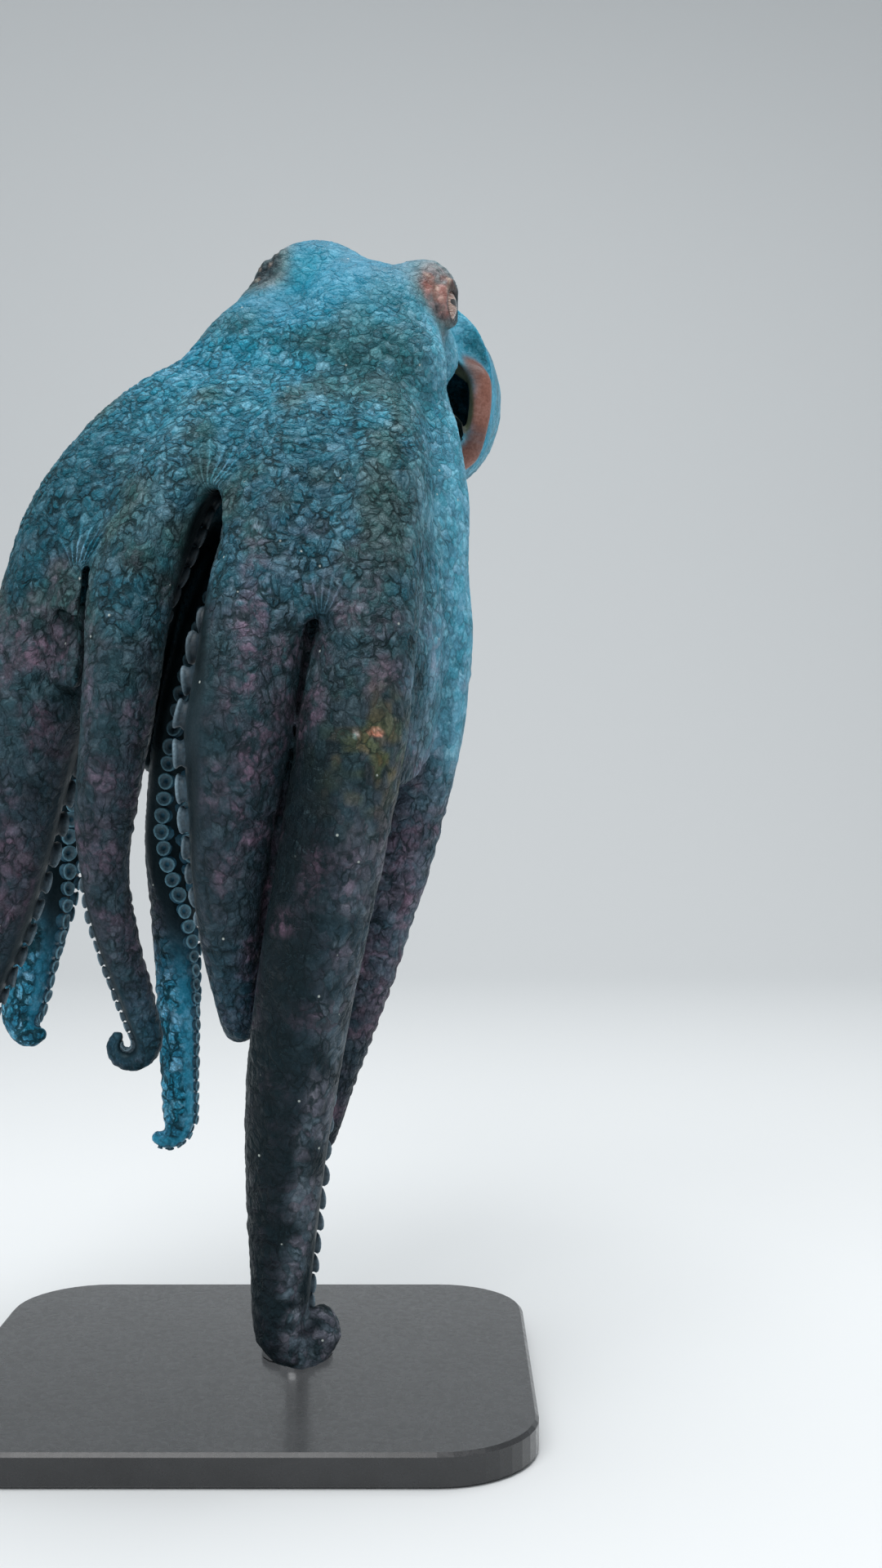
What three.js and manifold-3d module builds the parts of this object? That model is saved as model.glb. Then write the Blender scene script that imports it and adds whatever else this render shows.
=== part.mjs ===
// A life-size common octopus that swims with its arms hanging, on a plain display stand.
// Millimetres, +Z up. The origin is the middle of the base's underside. The animal faces -Y, its mantle points
// back along +Y, and names ending in r or right mean the animal's own right side, which is -X.
import * as THREE from "three";
import { mergeVertices } from "three/addons/utils/BufferGeometryUtils.js";
import Module from "manifold-3d";

const wasm = await Module();
wasm.setup();

// ---- Driving dimensions ----
const GAP = 0.3; // what touching pieces keep between them
const ARM_SIDES = 9; // corners of an arm's section
const ARM_STEP = 20; // length of one step along an arm
const CURL_STEP = 5.8; // the same where the tip curls
const ARM_WIDTH = 1.03; // half width and, on the sucker side, half depth, in arm radii
const ARM_ORAL_DEPTH = 0.94;
const TIP_START = 0.62; // where an arm's middle ends, from the margin at 0 to the wrist at 1
const FINE = 12; // stations of an arm's centre line in each span between two places
const WEB_THICKNESS = 4;

const SKIN_COLOUR = 0x4f6f78;
const ARM_COLOUR = 0x4a4148;
const FUNNEL_COLOUR = 0x8a6a5c;
const EYE_COLOUR = 0xc8b9a0;
const STAND_COLOUR = 0x2b2c2e;

// Head: lumps that blend into one body. The crown is the ring of muscle that the arms grow from.
const CROWN = [37, -8, 437];
const HEAD_MIDDLE = [46, -10, 457];
const HEAD_LUMPS = [
  { at: CROWN, size: [44, 41, 32] }, // crown
  { at: [51, -18, 466], size: [33, 30, 33] }, // cranium
  { at: [60, 14, 464], size: [33, 32, 31] }, // neck
  { at: [3, -12, 452], size: [29, 30, 25] }, // slope to the right shoulder
  { at: [77, -11, 487], size: [15.5, 15, 15] }, // left eye's bulge
  { at: [30, -11, 494], size: [23.5, 17, 17] }, // right eye's bulge
  { at: [4, -24, 462], size: [16, 17, 17] }, // cheek below it
  { at: [12, -14, 477], size: [16, 16, 16] }, // fold between them
  { at: [44, -29, 452], size: [43, 26, 27] }, // slope below the eyes
];
const HEAD_BLEND = 3.5;
const EYEBALL_RADIUS = 9.8;
const EYEBALL_LEFT = [82.3, -13, 481.5];
const EYEBALL_RIGHT = [15.5, -12.5, 491.5];
const EYE_OPENING = { outward: 10.5, size: [4.5, 8.5, 6.5] }; // between the lids

// Mantle: a sac from its open rim behind the head to its rounded end.
const MANTLE = {
  rim: [71, 29, 461],
  middle: [62, 100, 474],
  end: [70, 186, 456],
  stations: [0, 0.14, 0.3, 0.45, 0.6, 0.74, 0.86, 0.94, 0.985, 1],
  width: [38, 40.5, 45.8, 48.8, 49.7, 47.5, 40.5, 29, 16.5, 6.5],
  height: [37, 37.5, 41, 43.5, 44, 42, 36, 26, 15, 6],
};
const MANTLE_SIDES = 18;
const MANTLE_FLARE = { at: [85, 48, 446], size: [25, 34, 33] }; // the rim's left side, which gapes
const MANTLE_POCKET = { at: [84, 33, 446], size: [18, 30, 24] }; // the opening inside it

// Funnel: a tapered tube that leaves the mantle's opening on the animal's left.
const FUNNEL = { base: [78, 52, 444], mouth: [88, 15, 432], baseRadius: 12, mouthRadius: 8.5, wall: 2.2 };
const FUNNEL_BORE_DEPTH = 26;

// Arms. Each passes over its shoulder and the rim of the web, leaves the web at the margin, falls, and curls from
// the wrist on: way holds those five places. girth holds the radius at the root, those places and the tip. oral
// holds the compass direction, from +X towards +Y in degrees, that the suckers face at the margin and at the
// wrist. curl holds the radius and turn of the tip, and the direction it turns towards.
const ROOT_RADIUS = 14; // the ring round the crown's middle that the arms start on
const MARGIN_PLACE = 3; // places along way, counted from the root
const WRIST_PLACE = 5;
const ARMS = [
  {
    name: "arm_r1",
    way: [[27, -49, 424], [16, -80, 363], [5, -95, 290], [1, -88, 226], [3, -78, 183]],
    girth: [17, 18.5, 21, 22.5, 14, 9.5, 3],
    oral: [160, 110],
    curl: { radius: 15, turn: 250, towards: 95 },
  },
  {
    name: "arm_l1",
    way: [[57, -48, 424], [58, -78, 363], [50, -93, 290], [26, -90, 152], [20, -77, 54]],
    girth: [17, 19, 19.5, 22, 18.2, 11.5, 6],
    oral: [95, 50],
    curl: { radius: 11.5, turn: 225, towards: 8 },
  },
  {
    name: "arm_r2",
    way: [[0, -41, 430], [-36, -69, 363], [-45, -80, 297], [-51, -75, 235], [-35, -68, 168]],
    girth: [17, 18.5, 18, 14.5, 10.2, 6.6, 3],
    oral: [100, 165],
    curl: { radius: 9, turn: 240, towards: 178 },
  },
  {
    name: "arm_r3",
    way: [[-18, -23, 440], [-70, -34, 389], [-89, -37, 305], [-103, -35, 229], [-121, -31, 168]],
    girth: [17, 18, 21, 24, 18, 12, 4],
    oral: [60, 40],
    curl: { radius: 21, turn: 205, towards: 178 },
  },
  {
    name: "arm_l2",
    way: [[72, -19, 432], [81, -29, 363], [77, -28, 292], [61, -29, 215], [34, -36, 122]],
    girth: [16, 17.5, 18, 17.5, 12.5, 7.2, 2.6],
    oral: [120, 150],
    curl: { radius: 10, turn: 190, towards: 130 },
  },
  {
    name: "arm_r4",
    way: [[-8, 16, 426], [-58, 42, 377], [-90, 54, 268], [-101, 50, 224], [-114, 42, 164]],
    girth: [16, 16.5, 16, 13.5, 12.3, 10.5, 4],
    oral: [-50, 25],
    curl: { radius: 12, turn: 130, towards: -25 },
  },
  {
    name: "arm_l4",
    way: [[18, 32, 414], [-22, 62, 364], [-47, 71, 258], [-45, 68, 205], [-41, 56, 109]],
    girth: [16, 16.5, 16, 13, 11.8, 8, 3.6],
    oral: [-75, 20],
    curl: { radius: 10, turn: 125, towards: -150 },
  },
  {
    name: "arm_l3",
    way: [[52, 30, 408], [56, 54, 360], [41, 64, 256], [29, 60, 214], [16, 50, 162]],
    girth: [16, 16.5, 16.5, 14, 12, 9, 3],
    oral: [-120, -110],
    curl: { radius: 12, turn: 200, towards: -115 },
  },
];

// Webs, in order round the crown. notch is how far along the arms the middle of the margin lies, from 0 at the
// root to 1 where the arms leave the web. bulge is how far the middle stands out.
const WEBS = [
  { name: "web_r1_l1", arms: ["arm_r1", "arm_l1"], notch: 0.75, bulge: 6 },
  { name: "web_l1_l2", arms: ["arm_l1", "arm_l2"], notch: 1.12, bulge: 7 },
  { name: "web_l2_l3", arms: ["arm_l2", "arm_l3"], notch: 0.85, bulge: 10 },
  { name: "web_l3_l4", arms: ["arm_l3", "arm_l4"], notch: 0.85, bulge: 8 },
  { name: "web_r4_l4", arms: ["arm_l4", "arm_r4"], notch: 0.9, bulge: 8 },
  { name: "web_r3_r4", arms: ["arm_r4", "arm_r3"], notch: 0.86, bulge: 14 },
  { name: "web_r2_r3", arms: ["arm_r3", "arm_r2"], notch: 0.8, bulge: 5 },
  { name: "web_r1_r2", arms: ["arm_r2", "arm_r1"], notch: 0.47, bulge: 4 },
];
const WEB_START = 0.16; // share of the way to the margin where a web begins
const WEB_END = 0.99; // and where it leaves the arms
const WEB_ACROSS = 4;
const WEB_ALONG = 5;
const WEB_OUTWARD = 0.5; // how far out on the arms the web is joined, in arm radii
const WEB_LIFT = 0.8; // how far a web's outward direction tips up near the crown
const MARGIN_CURVE = 2.2; // how square the margin's hollow is

// Stand: a flat round-cornered base, a flange and one rod up into the middle of the crown.
const BASE = { width: 250, depth: 220, height: 14, corner: 40, bevel: 1.5 };
const ROD = { at: [20, 5], radius: 5, top: 412 };
const FLANGE = { radius: 16, height: 9, neck: 8 };

// ---- Shape helpers ----
const vector = (values) => new THREE.Vector3(...values);
const compass = (degrees) => {
  const angle = THREE.MathUtils.degToRad(degrees);
  return new THREE.Vector3(Math.cos(angle), Math.sin(angle), 0);
};

function toSolid(geometry) {
  const bare = geometry.clone();
  bare.deleteAttribute("normal");
  bare.deleteAttribute("uv");
  const merged = mergeVertices(bare, 1e-4);
  return new wasm.Manifold(
    new wasm.Mesh({
      numProp: 3,
      vertProperties: new Float32Array(merged.attributes.position.array),
      triVerts: new Uint32Array(merged.index.array),
    }),
  );
}

function toGeometry(solid) {
  const mesh = solid.getMesh();
  const position = new Float32Array(mesh.numVert * 3);
  for (let i = 0; i < mesh.numVert; i++) {
    position.set(mesh.vertProperties.subarray(i * mesh.numProp, i * mesh.numProp + 3), i * 3);
  }
  const geometry = new THREE.BufferGeometry();
  geometry.setAttribute("position", new THREE.BufferAttribute(position, 3));
  geometry.setIndex(new THREE.BufferAttribute(new Uint32Array(mesh.triVerts), 1));
  geometry.computeVertexNormals();
  return geometry;
}

// The largest of the bodies that a cut leaves.
function mainBody(solid) {
  return solid.decompose().reduce((best, body) => (body.volume() > best.volume() ? body : best));
}

// A closed skin through rings of points, each ring turning the same way, with a flat or pointed end.
function loft(rings) {
  const sides = rings[0].length;
  const points = rings.flat();
  const faces = [];
  for (let ring = 0; ring + 1 < rings.length; ring++) {
    for (let side = 0; side < sides; side++) {
      const next = (side + 1) % sides;
      const a = ring * sides + side;
      const b = ring * sides + next;
      faces.push(a, b, b + sides, a, b + sides, a + sides);
    }
  }
  for (const [ring, flip] of [[0, true], [rings.length - 1, false]]) {
    const middle = rings[ring].reduce((sum, p) => sum.add(p), new THREE.Vector3()).divideScalar(sides);
    points.push(middle);
    for (let side = 0; side < sides; side++) {
      const a = ring * sides + side;
      const b = ring * sides + ((side + 1) % sides);
      faces.push(...(flip ? [points.length - 1, b, a] : [points.length - 1, a, b]));
    }
  }
  const geometry = new THREE.BufferGeometry().setFromPoints(points);
  geometry.setIndex(faces);
  geometry.computeVertexNormals();
  return geometry;
}

function ellipsoid({ at, size }, around = 12, down = 9) {
  const geometry = new THREE.SphereGeometry(1, around, down);
  geometry.scale(...size);
  geometry.translate(...at);
  return toSolid(geometry);
}

// How far a point lies outside an ellipsoid, nearly.
function outside(point, { at, size }) {
  const [x, y, z] = size;
  const from = point.clone().sub(vector(at));
  const scaled = from.clone().divide(vector(size)).length();
  const slope = from.divide(new THREE.Vector3(x * x, y * y, z * z)).length();
  return (scaled * (scaled - 1)) / slope;
}

// A closed skin round a middle point: in every direction it lies where the blend of the lumps ends.
function blendedBody(middle, lumps, blend, grow, around = 22, down = 15) {
  const geometry = new THREE.SphereGeometry(1, around, down).rotateX(Math.PI / 2);
  const position = geometry.attributes.position;
  const away = new THREE.Vector3();
  const point = new THREE.Vector3();
  for (let i = 0; i < position.count; i++) {
    away.fromBufferAttribute(position, i);
    let [near, far] = [5, 90];
    while (far - near > 0.01) {
      const reach = (near + far) / 2;
      point.copy(away).multiplyScalar(reach).add(middle);
      const sum = lumps.reduce((total, lump) => total + Math.exp(-outside(point, lump) / blend), 0);
      if (-Math.log(sum) * blend < grow) near = reach;
      else far = reach;
    }
    position.setXYZ(i, ...point);
  }
  return toSolid(geometry);
}

// ---- Arms ----
// The arm's centre line as evenly spaced stations with direction, sucker side, radius and length so far.
function stationsOf(arm) {
  const way = arm.way.map(vector);
  const crown = vector(CROWN);
  const outward = way[0].clone().sub(crown).setZ(0).normalize();
  const root = crown.clone().addScaledVector(outward, ROOT_RADIUS);
  const inward = outward.clone().negate();
  const spline = new THREE.CatmullRomCurve3([root, ...way], false, "centripetal");
  const line = [];
  for (let i = 0; i <= WRIST_PLACE * FINE; i++) {
    const place = i / FINE;
    line.push({
      at: spline.getPoint(place / WRIST_PLACE),
      radius: girthAt(arm.girth, place),
      facing: facingAt(arm, inward, place),
    });
  }
  for (let i = 0; i < line.length; i++) {
    const before = line[Math.max(i - 1, 0)].at;
    const after = line[Math.min(i + 1, line.length - 1)].at;
    line[i].along = after.clone().sub(before).normalize();
    line[i].oral = acrossOf(line[i].facing, line[i].along);
  }
  addCurl(line, arm);
  let length = 0;
  line.forEach((station, i) => {
    length += i ? station.at.distanceTo(line[i - 1].at) : 0;
    station.length = length;
  });
  const margin = line[MARGIN_PLACE * FINE].length;
  const wrist = line[WRIST_PLACE * FINE].length;
  return { line, margin, wrist, total: length };
}

function girthAt(girth, place) {
  const low = Math.min(Math.floor(place), girth.length - 2);
  return THREE.MathUtils.lerp(girth[low], girth[low + 1], place - low);
}

// The sucker side turns from inward at the rim to oral[0] at the margin and oral[1] at the wrist.
function facingAt(arm, inward, place) {
  const [margin, wrist] = arm.oral.map(compass);
  if (place < MARGIN_PLACE) {
    return inward.clone().lerp(margin, THREE.MathUtils.smoothstep(place, MARGIN_PLACE / 2, MARGIN_PLACE));
  }
  return margin.lerp(wrist, THREE.MathUtils.smoothstep(place, MARGIN_PLACE, WRIST_PLACE));
}

function acrossOf(direction, along) {
  return direction.clone().addScaledVector(along, -direction.dot(along)).normalize();
}

// The tip turns in one plane, tightening to half its radius.
function addCurl(line, arm) {
  const wrist = line[line.length - 1];
  const along = wrist.along.clone();
  const towards = acrossOf(compass(arm.curl.towards), along);
  const axis = along.clone().cross(towards).normalize();
  const turn = THREE.MathUtils.degToRad(arm.curl.turn);
  const steps = Math.ceil(arm.curl.turn / 6);
  const at = wrist.at.clone();
  for (let i = 1; i <= steps; i++) {
    const share = i / steps;
    const middle = (i - 0.5) / steps;
    const heading = along.clone().applyAxisAngle(axis, turn * middle);
    const radius = arm.curl.radius * (1 - 0.5 * middle);
    at.addScaledVector(heading, (radius * turn) / steps);
    line.push({
      at: at.clone(),
      radius: THREE.MathUtils.lerp(arm.girth[WRIST_PLACE], arm.girth[WRIST_PLACE + 1], share ** 0.9),
      along: along.clone().applyAxisAngle(axis, turn * share),
      oral: wrist.oral.clone().applyAxisAngle(axis, turn * share),
    });
  }
}

function stationAt(line, length) {
  let i = 1;
  while (i < line.length - 1 && line[i].length < length) i++;
  const [a, b] = [line[i - 1], line[i]];
  const share = THREE.MathUtils.clamp((length - a.length) / (b.length - a.length), 0, 1);
  const along = a.along.clone().lerp(b.along, share).normalize();
  return {
    at: a.at.clone().lerp(b.at, share),
    radius: THREE.MathUtils.lerp(a.radius, b.radius, share),
    along,
    oral: acrossOf(a.oral.clone().lerp(b.oral, share), along),
  };
}

// An arm's section is a little wider than deep, and flatter on the sucker side.
function armRing(station, grow) {
  const side = station.along.clone().cross(station.oral);
  const ring = [];
  for (let i = 0; i < ARM_SIDES; i++) {
    const angle = (2 * Math.PI * (i + 0.5)) / ARM_SIDES;
    const deep = Math.cos(angle) > 0 ? ARM_ORAL_DEPTH : 1;
    ring.push(
      station.at
        .clone()
        .addScaledVector(station.oral, Math.cos(angle) * (station.radius * deep + grow))
        .addScaledVector(side, Math.sin(angle) * (station.radius * ARM_WIDTH + grow)),
    );
  }
  return ring;
}

function armLength(line, from, to, wrist, grow = 0) {
  const lengths = [from];
  while (to - lengths[lengths.length - 1] > 1e-6) {
    const here = lengths[lengths.length - 1];
    const straight = here < wrist - 1e-6;
    const stop = straight ? Math.min(to, wrist) : to;
    const steps = Math.max(1, Math.round((stop - here) / (straight ? ARM_STEP : CURL_STEP)));
    lengths.push(here + (stop - here) / steps);
  }
  return loft(lengths.map((length) => armRing(stationAt(line, length), grow)));
}

// ---- Webs ----
// A thin sheet between two arms, from near the crown to a margin hollowed between the arms.
function webSheet(web, shapes) {
  const [a, b] = web.arms.map((name) => shapes.get(name));
  const crown = vector(CROWN);
  const outer = [];
  const inner = [];
  for (let i = 0; i <= WEB_ACROSS; i++) {
    const across = i / WEB_ACROSS;
    const hollow = Math.abs(2 * across - 1) ** MARGIN_CURVE;
    const end = web.notch + (WEB_END - web.notch) * hollow;
    const column = [];
    for (let j = 0; j <= WEB_ALONG; j++) {
      const share = WEB_START + (end - WEB_START) * (j / WEB_ALONG);
      const [left, right] = [a, b].map((shape) => {
        const station = stationAt(shape.line, share * shape.margin);
        return station.at.addScaledVector(station.oral, -WEB_OUTWARD * station.radius);
      });
      const middle = left.clone().lerp(right, across);
      const axis = crown.clone().setZ(middle.z);
      const away = middle.clone().sub(axis).normalize();
      away.add(new THREE.Vector3(0, 0, WEB_LIFT * (1 - share))).normalize();
      const stand = web.bulge * 4 * across * (1 - across) * THREE.MathUtils.smoothstep(share, WEB_START, 1);
      middle.addScaledVector(away, stand);
      column.push({ middle, away });
    }
    const half = WEB_THICKNESS / 2;
    outer.push(column.map(({ middle, away }) => middle.clone().addScaledVector(away, half)));
    inner.push(column.map(({ middle, away }) => middle.clone().addScaledVector(away, -half)));
  }
  // Each ring runs out along the outer face and back along the inner one.
  return loft(outer.map((column, i) => [...column, ...inner[i].reverse()]));
}

// ---- Mantle and funnel ----
function mantleRings(grow = 0) {
  const axis = new THREE.QuadraticBezierCurve3(
    vector(MANTLE.rim),
    vector(MANTLE.middle),
    vector(MANTLE.end),
  );
  return MANTLE.stations.map((share, i) => {
    const at = axis.getPoint(share);
    const along = axis.getTangent(share);
    const side = new THREE.Vector3(0, 0, 1).cross(along).normalize();
    const up = along.clone().cross(side);
    const ring = [];
    for (let k = 0; k < MANTLE_SIDES; k++) {
      const angle = (2 * Math.PI * k) / MANTLE_SIDES;
      ring.push(
        at
          .clone()
          .addScaledVector(side, Math.cos(angle) * (MANTLE.width[i] + grow))
          .addScaledVector(up, Math.sin(angle) * (MANTLE.height[i] + grow)),
      );
    }
    return ring;
  });
}

function turned(geometry, from, to) {
  const along = vector(to).sub(vector(from));
  geometry.translate(0, along.length() / 2, 0);
  const turn = new THREE.Quaternion().setFromUnitVectors(new THREE.Vector3(0, 1, 0), along.clone().normalize());
  geometry.applyQuaternion(turn);
  geometry.translate(...from);
  return geometry;
}

function funnelSolid(grow = 0) {
  const { base, mouth, baseRadius, mouthRadius, wall } = FUNNEL;
  const length = vector(mouth).distanceTo(vector(base));
  const outer = [
    new THREE.Vector2(0, -length / 2),
    new THREE.Vector2(baseRadius + grow, -length / 2),
    new THREE.Vector2((baseRadius + mouthRadius) / 2 + grow, 0),
    new THREE.Vector2(mouthRadius + grow, length / 2 - wall / 2),
    new THREE.Vector2(mouthRadius - wall / 2 + grow, length / 2 + grow),
  ];
  const bore = [
    new THREE.Vector2(mouthRadius - wall, length / 2 - wall / 2),
    new THREE.Vector2(mouthRadius - wall - 1, length / 2 - FUNNEL_BORE_DEPTH),
    new THREE.Vector2(0, length / 2 - FUNNEL_BORE_DEPTH),
  ];
  const profile = grow ? [...outer, new THREE.Vector2(0, length / 2 + grow)] : [...outer, ...bore];
  return toSolid(turned(new THREE.LatheGeometry(profile, 12), base, mouth));
}

// ---- Stand ----
function baseGeometry() {
  const { width, depth, height, corner, bevel } = BASE;
  const outline = new THREE.Shape();
  const [x, y] = [width / 2 - bevel, depth / 2 - bevel];
  outline.moveTo(-x + corner, -y);
  outline.lineTo(x - corner, -y);
  outline.absarc(x - corner, -y + corner, corner, -Math.PI / 2, 0);
  outline.absarc(x - corner, y - corner, corner, 0, Math.PI / 2);
  outline.absarc(-x + corner, y - corner, corner, Math.PI / 2, Math.PI);
  outline.absarc(-x + corner, -y + corner, corner, Math.PI, 1.5 * Math.PI);
  const geometry = new THREE.ExtrudeGeometry(outline, {
    depth: height - 2 * bevel,
    bevelThickness: bevel,
    bevelSize: bevel,
    bevelSegments: 1,
    curveSegments: 5,
  });
  geometry.translate(0, 0, bevel);
  return geometry;
}

function flangeGeometry() {
  const inside = ROD.radius + GAP;
  const profile = [
    new THREE.Vector2(inside, 0),
    new THREE.Vector2(FLANGE.radius, 0),
    new THREE.Vector2(FLANGE.radius, FLANGE.height * 0.4),
    new THREE.Vector2(FLANGE.neck + 1, FLANGE.height * 0.6),
    new THREE.Vector2(FLANGE.neck, FLANGE.height),
    new THREE.Vector2(inside, FLANGE.height),
    new THREE.Vector2(inside, 0),
  ];
  const geometry = new THREE.LatheGeometry(profile, 16);
  return geometry.rotateX(Math.PI / 2);
}

// The rod from the base to its top, or the room that it needs in the crown.
function rodGeometry(grow) {
  const length = ROD.top - BASE.height - GAP + grow;
  const geometry = new THREE.CylinderGeometry(ROD.radius + grow, ROD.radius + grow, length, 16);
  return geometry.rotateX(Math.PI / 2).translate(0, 0, length / 2);
}

// ---- Assembly ----
const materials = {
  skin: new THREE.MeshStandardMaterial({ color: SKIN_COLOUR, roughness: 0.55 }),
  arm: new THREE.MeshStandardMaterial({ color: ARM_COLOUR, roughness: 0.5 }),
  funnel: new THREE.MeshStandardMaterial({ color: FUNNEL_COLOUR, roughness: 0.45 }),
  eye: new THREE.MeshStandardMaterial({ color: EYE_COLOUR, roughness: 0.1 }),
  stand: new THREE.MeshStandardMaterial({ color: STAND_COLOUR, roughness: 0.5, metalness: 0.3 }),
};

const octopus = new THREE.Group();
const stand = new THREE.Group();
const animal = new THREE.Group();
octopus.add(stand, animal);

function put(group, name, geometry, material, at = [0, 0, 0]) {
  const mesh = new THREE.Mesh(geometry, material);
  mesh.name = name;
  mesh.position.set(...at);
  group.add(mesh);
}

const rodFoot = [...ROD.at, BASE.height + GAP];
put(stand, "stand_base", baseGeometry(), materials.stand);
put(stand, "stand_flange", flangeGeometry(), materials.stand, rodFoot);
put(stand, "stand_rod", rodGeometry(0), materials.stand, rodFoot);

const eyes = [
  { name: "eye_left", at: EYEBALL_LEFT, outward: 1 },
  { name: "eye_right", at: EYEBALL_RIGHT, outward: -1 },
];
const eyeball = (at, grow) => ellipsoid({ at, size: Array(3).fill(EYEBALL_RADIUS + grow) });
const eyeOpening = (eye) => {
  const at = vector(eye.at).add(new THREE.Vector3(eye.outward * EYE_OPENING.outward, 0, 0));
  return ellipsoid({ at, size: EYE_OPENING.size });
};
for (const eye of eyes) put(animal, eye.name, toGeometry(eyeball([0, 0, 0], 0)), materials.eye, eye.at);

put(animal, "funnel", toGeometry(funnelSolid()), materials.funnel);

const pocket = ellipsoid(MANTLE_POCKET);
const sac = toSolid(loft(mantleRings())).add(ellipsoid(MANTLE_FLARE));
const mantle = sac.subtract(pocket).subtract(funnelSolid(GAP));
put(animal, "mantle", toGeometry(mainBody(mantle)), materials.skin);

const rodRoom = toSolid(rodGeometry(GAP).translate(...rodFoot));
const flareRoom = ellipsoid({ at: MANTLE_FLARE.at, size: MANTLE_FLARE.size.map((size) => size + GAP) });
const mantleRoom = toSolid(loft(mantleRings(GAP))).add(flareRoom).add(funnelSolid(GAP)).add(pocket);
const eyeRoom = eyes
  .flatMap((eye) => [eyeball(eye.at, GAP), eyeOpening(eye)])
  .reduce((sum, room) => sum.add(room));
const head = blendedBody(vector(HEAD_MIDDLE), HEAD_LUMPS, HEAD_BLEND, 0)
  .subtract(mantleRoom)
  .subtract(rodRoom)
  .subtract(eyeRoom);
put(animal, "head", toGeometry(mainBody(head)), materials.skin);

// An arm's base stops at the head and at the arms that are already there. A web clears the middles too.
const shapes = new Map(ARMS.map((arm) => [arm.name, stationsOf(arm)]));
const headRoom = blendedBody(vector(HEAD_MIDDLE), HEAD_LUMPS, HEAD_BLEND, GAP).add(mantleRoom).add(rodRoom);
const taken = [];
const middles = [];
for (const arm of ARMS) {
  const { line, margin, wrist, total } = shapes.get(arm.name);
  const tip = margin + (wrist - margin) * TIP_START;
  let base = toSolid(armLength(line, 0, margin - GAP / 2, wrist)).subtract(headRoom);
  for (const neighbour of taken) base = base.subtract(neighbour);
  taken.push(toSolid(armLength(line, 0, margin, wrist, GAP)));
  middles.push(toSolid(armLength(line, margin, tip, wrist, GAP)));
  put(animal, `${arm.name}_base`, toGeometry(mainBody(base)), materials.arm);
  put(animal, `${arm.name}_middle`, armLength(line, margin + GAP / 2, tip - GAP / 2, wrist), materials.arm);
  put(animal, `${arm.name}_tip`, armLength(line, tip + GAP / 2, total, wrist), materials.arm);
}

const allTaken = [...taken, ...middles].reduce((sum, solid) => sum.add(solid)).add(headRoom);
for (const web of WEBS) {
  const sheet = toSolid(webSheet(web, shapes)).subtract(allTaken);
  put(animal, web.name, toGeometry(mainBody(sheet)), materials.skin);
}

export default octopus;
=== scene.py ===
# A life-size common octopus that swims with its arms hanging, on a display stand: how the model looks.
# Lengths are in millimetres until a mesh is made. +X is the animal's left, -Y its front, +Z up.
import math

import bpy
import numpy as np
import openvdb
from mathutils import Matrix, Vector
from mathutils.bvhtree import BVHTree
from mathutils.kdtree import KDTree


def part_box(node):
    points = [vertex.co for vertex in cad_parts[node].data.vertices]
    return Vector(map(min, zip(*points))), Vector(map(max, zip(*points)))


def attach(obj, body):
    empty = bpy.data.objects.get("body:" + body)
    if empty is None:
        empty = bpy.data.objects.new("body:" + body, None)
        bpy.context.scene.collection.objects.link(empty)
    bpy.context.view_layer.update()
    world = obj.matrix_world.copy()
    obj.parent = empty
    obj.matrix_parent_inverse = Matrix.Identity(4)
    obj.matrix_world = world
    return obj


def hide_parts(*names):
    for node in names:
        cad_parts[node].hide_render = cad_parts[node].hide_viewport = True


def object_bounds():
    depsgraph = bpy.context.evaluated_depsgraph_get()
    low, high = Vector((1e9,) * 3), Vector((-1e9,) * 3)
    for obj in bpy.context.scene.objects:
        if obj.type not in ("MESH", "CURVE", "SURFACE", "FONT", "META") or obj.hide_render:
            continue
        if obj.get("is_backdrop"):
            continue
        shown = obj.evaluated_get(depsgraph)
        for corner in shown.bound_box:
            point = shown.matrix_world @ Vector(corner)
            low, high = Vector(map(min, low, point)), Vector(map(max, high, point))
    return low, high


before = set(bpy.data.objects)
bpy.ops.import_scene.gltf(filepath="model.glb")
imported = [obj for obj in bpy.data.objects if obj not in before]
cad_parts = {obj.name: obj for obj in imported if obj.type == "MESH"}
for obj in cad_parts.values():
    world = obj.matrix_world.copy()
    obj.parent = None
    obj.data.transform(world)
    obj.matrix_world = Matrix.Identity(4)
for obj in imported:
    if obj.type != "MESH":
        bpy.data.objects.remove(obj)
cad_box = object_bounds()

MM = 0.001
VOXEL = 1.2  # spacing of the grid that the skin is meshed from
BAND = 15.0  # how far from a surface its distances are kept
GRID_MARGIN = 8  # how far the grid reaches past the solids
SEED = 7


# ---- Driving dimensions, as in the solids, but the mantle's last station is nearly a point ----
CROWN = (37, -8, 437)
HEAD_BLEND = 3.5
HEAD_LUMPS = (
    (CROWN, (44, 41, 32)),  # crown
    ((51, -18, 466), (33, 30, 33)),  # cranium
    ((60, 14, 464), (33, 32, 31)),  # neck
    ((3, -12, 452), (29, 30, 25)),  # slope to the right shoulder
    ((77, -11, 487), (15.5, 15, 15)),  # left eye's bulge
    ((30, -11, 494), (23.5, 17, 17)),  # right eye's bulge
    ((4, -24, 462), (16, 17, 17)),  # cheek below it
    ((12, -14, 477), (16, 16, 16)),  # fold between them
    ((44, -29, 452), (43, 26, 27)),  # slope below the eyes
)
MANTLE_AXIS = ((71, 29, 461), (62, 100, 474), (70, 186, 456))
MANTLE_STATIONS = (0, 0.14, 0.3, 0.45, 0.6, 0.74, 0.86, 0.94, 0.985, 1)
MANTLE_WIDTH = (38, 40.5, 45.8, 48.8, 49.7, 47.5, 40.5, 29, 16.5, 2)
MANTLE_HEIGHT = (37, 37.5, 41, 43.5, 44, 42, 36, 26, 15, 2)
MANTLE_POCKET = ((84, 33, 446), (18, 30, 24))
FUNNEL_BASE = (78, 52, 444)
FUNNEL_MOUTH = (88, 15, 432)
FUNNEL_RADII = (12, 8.5)
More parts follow.
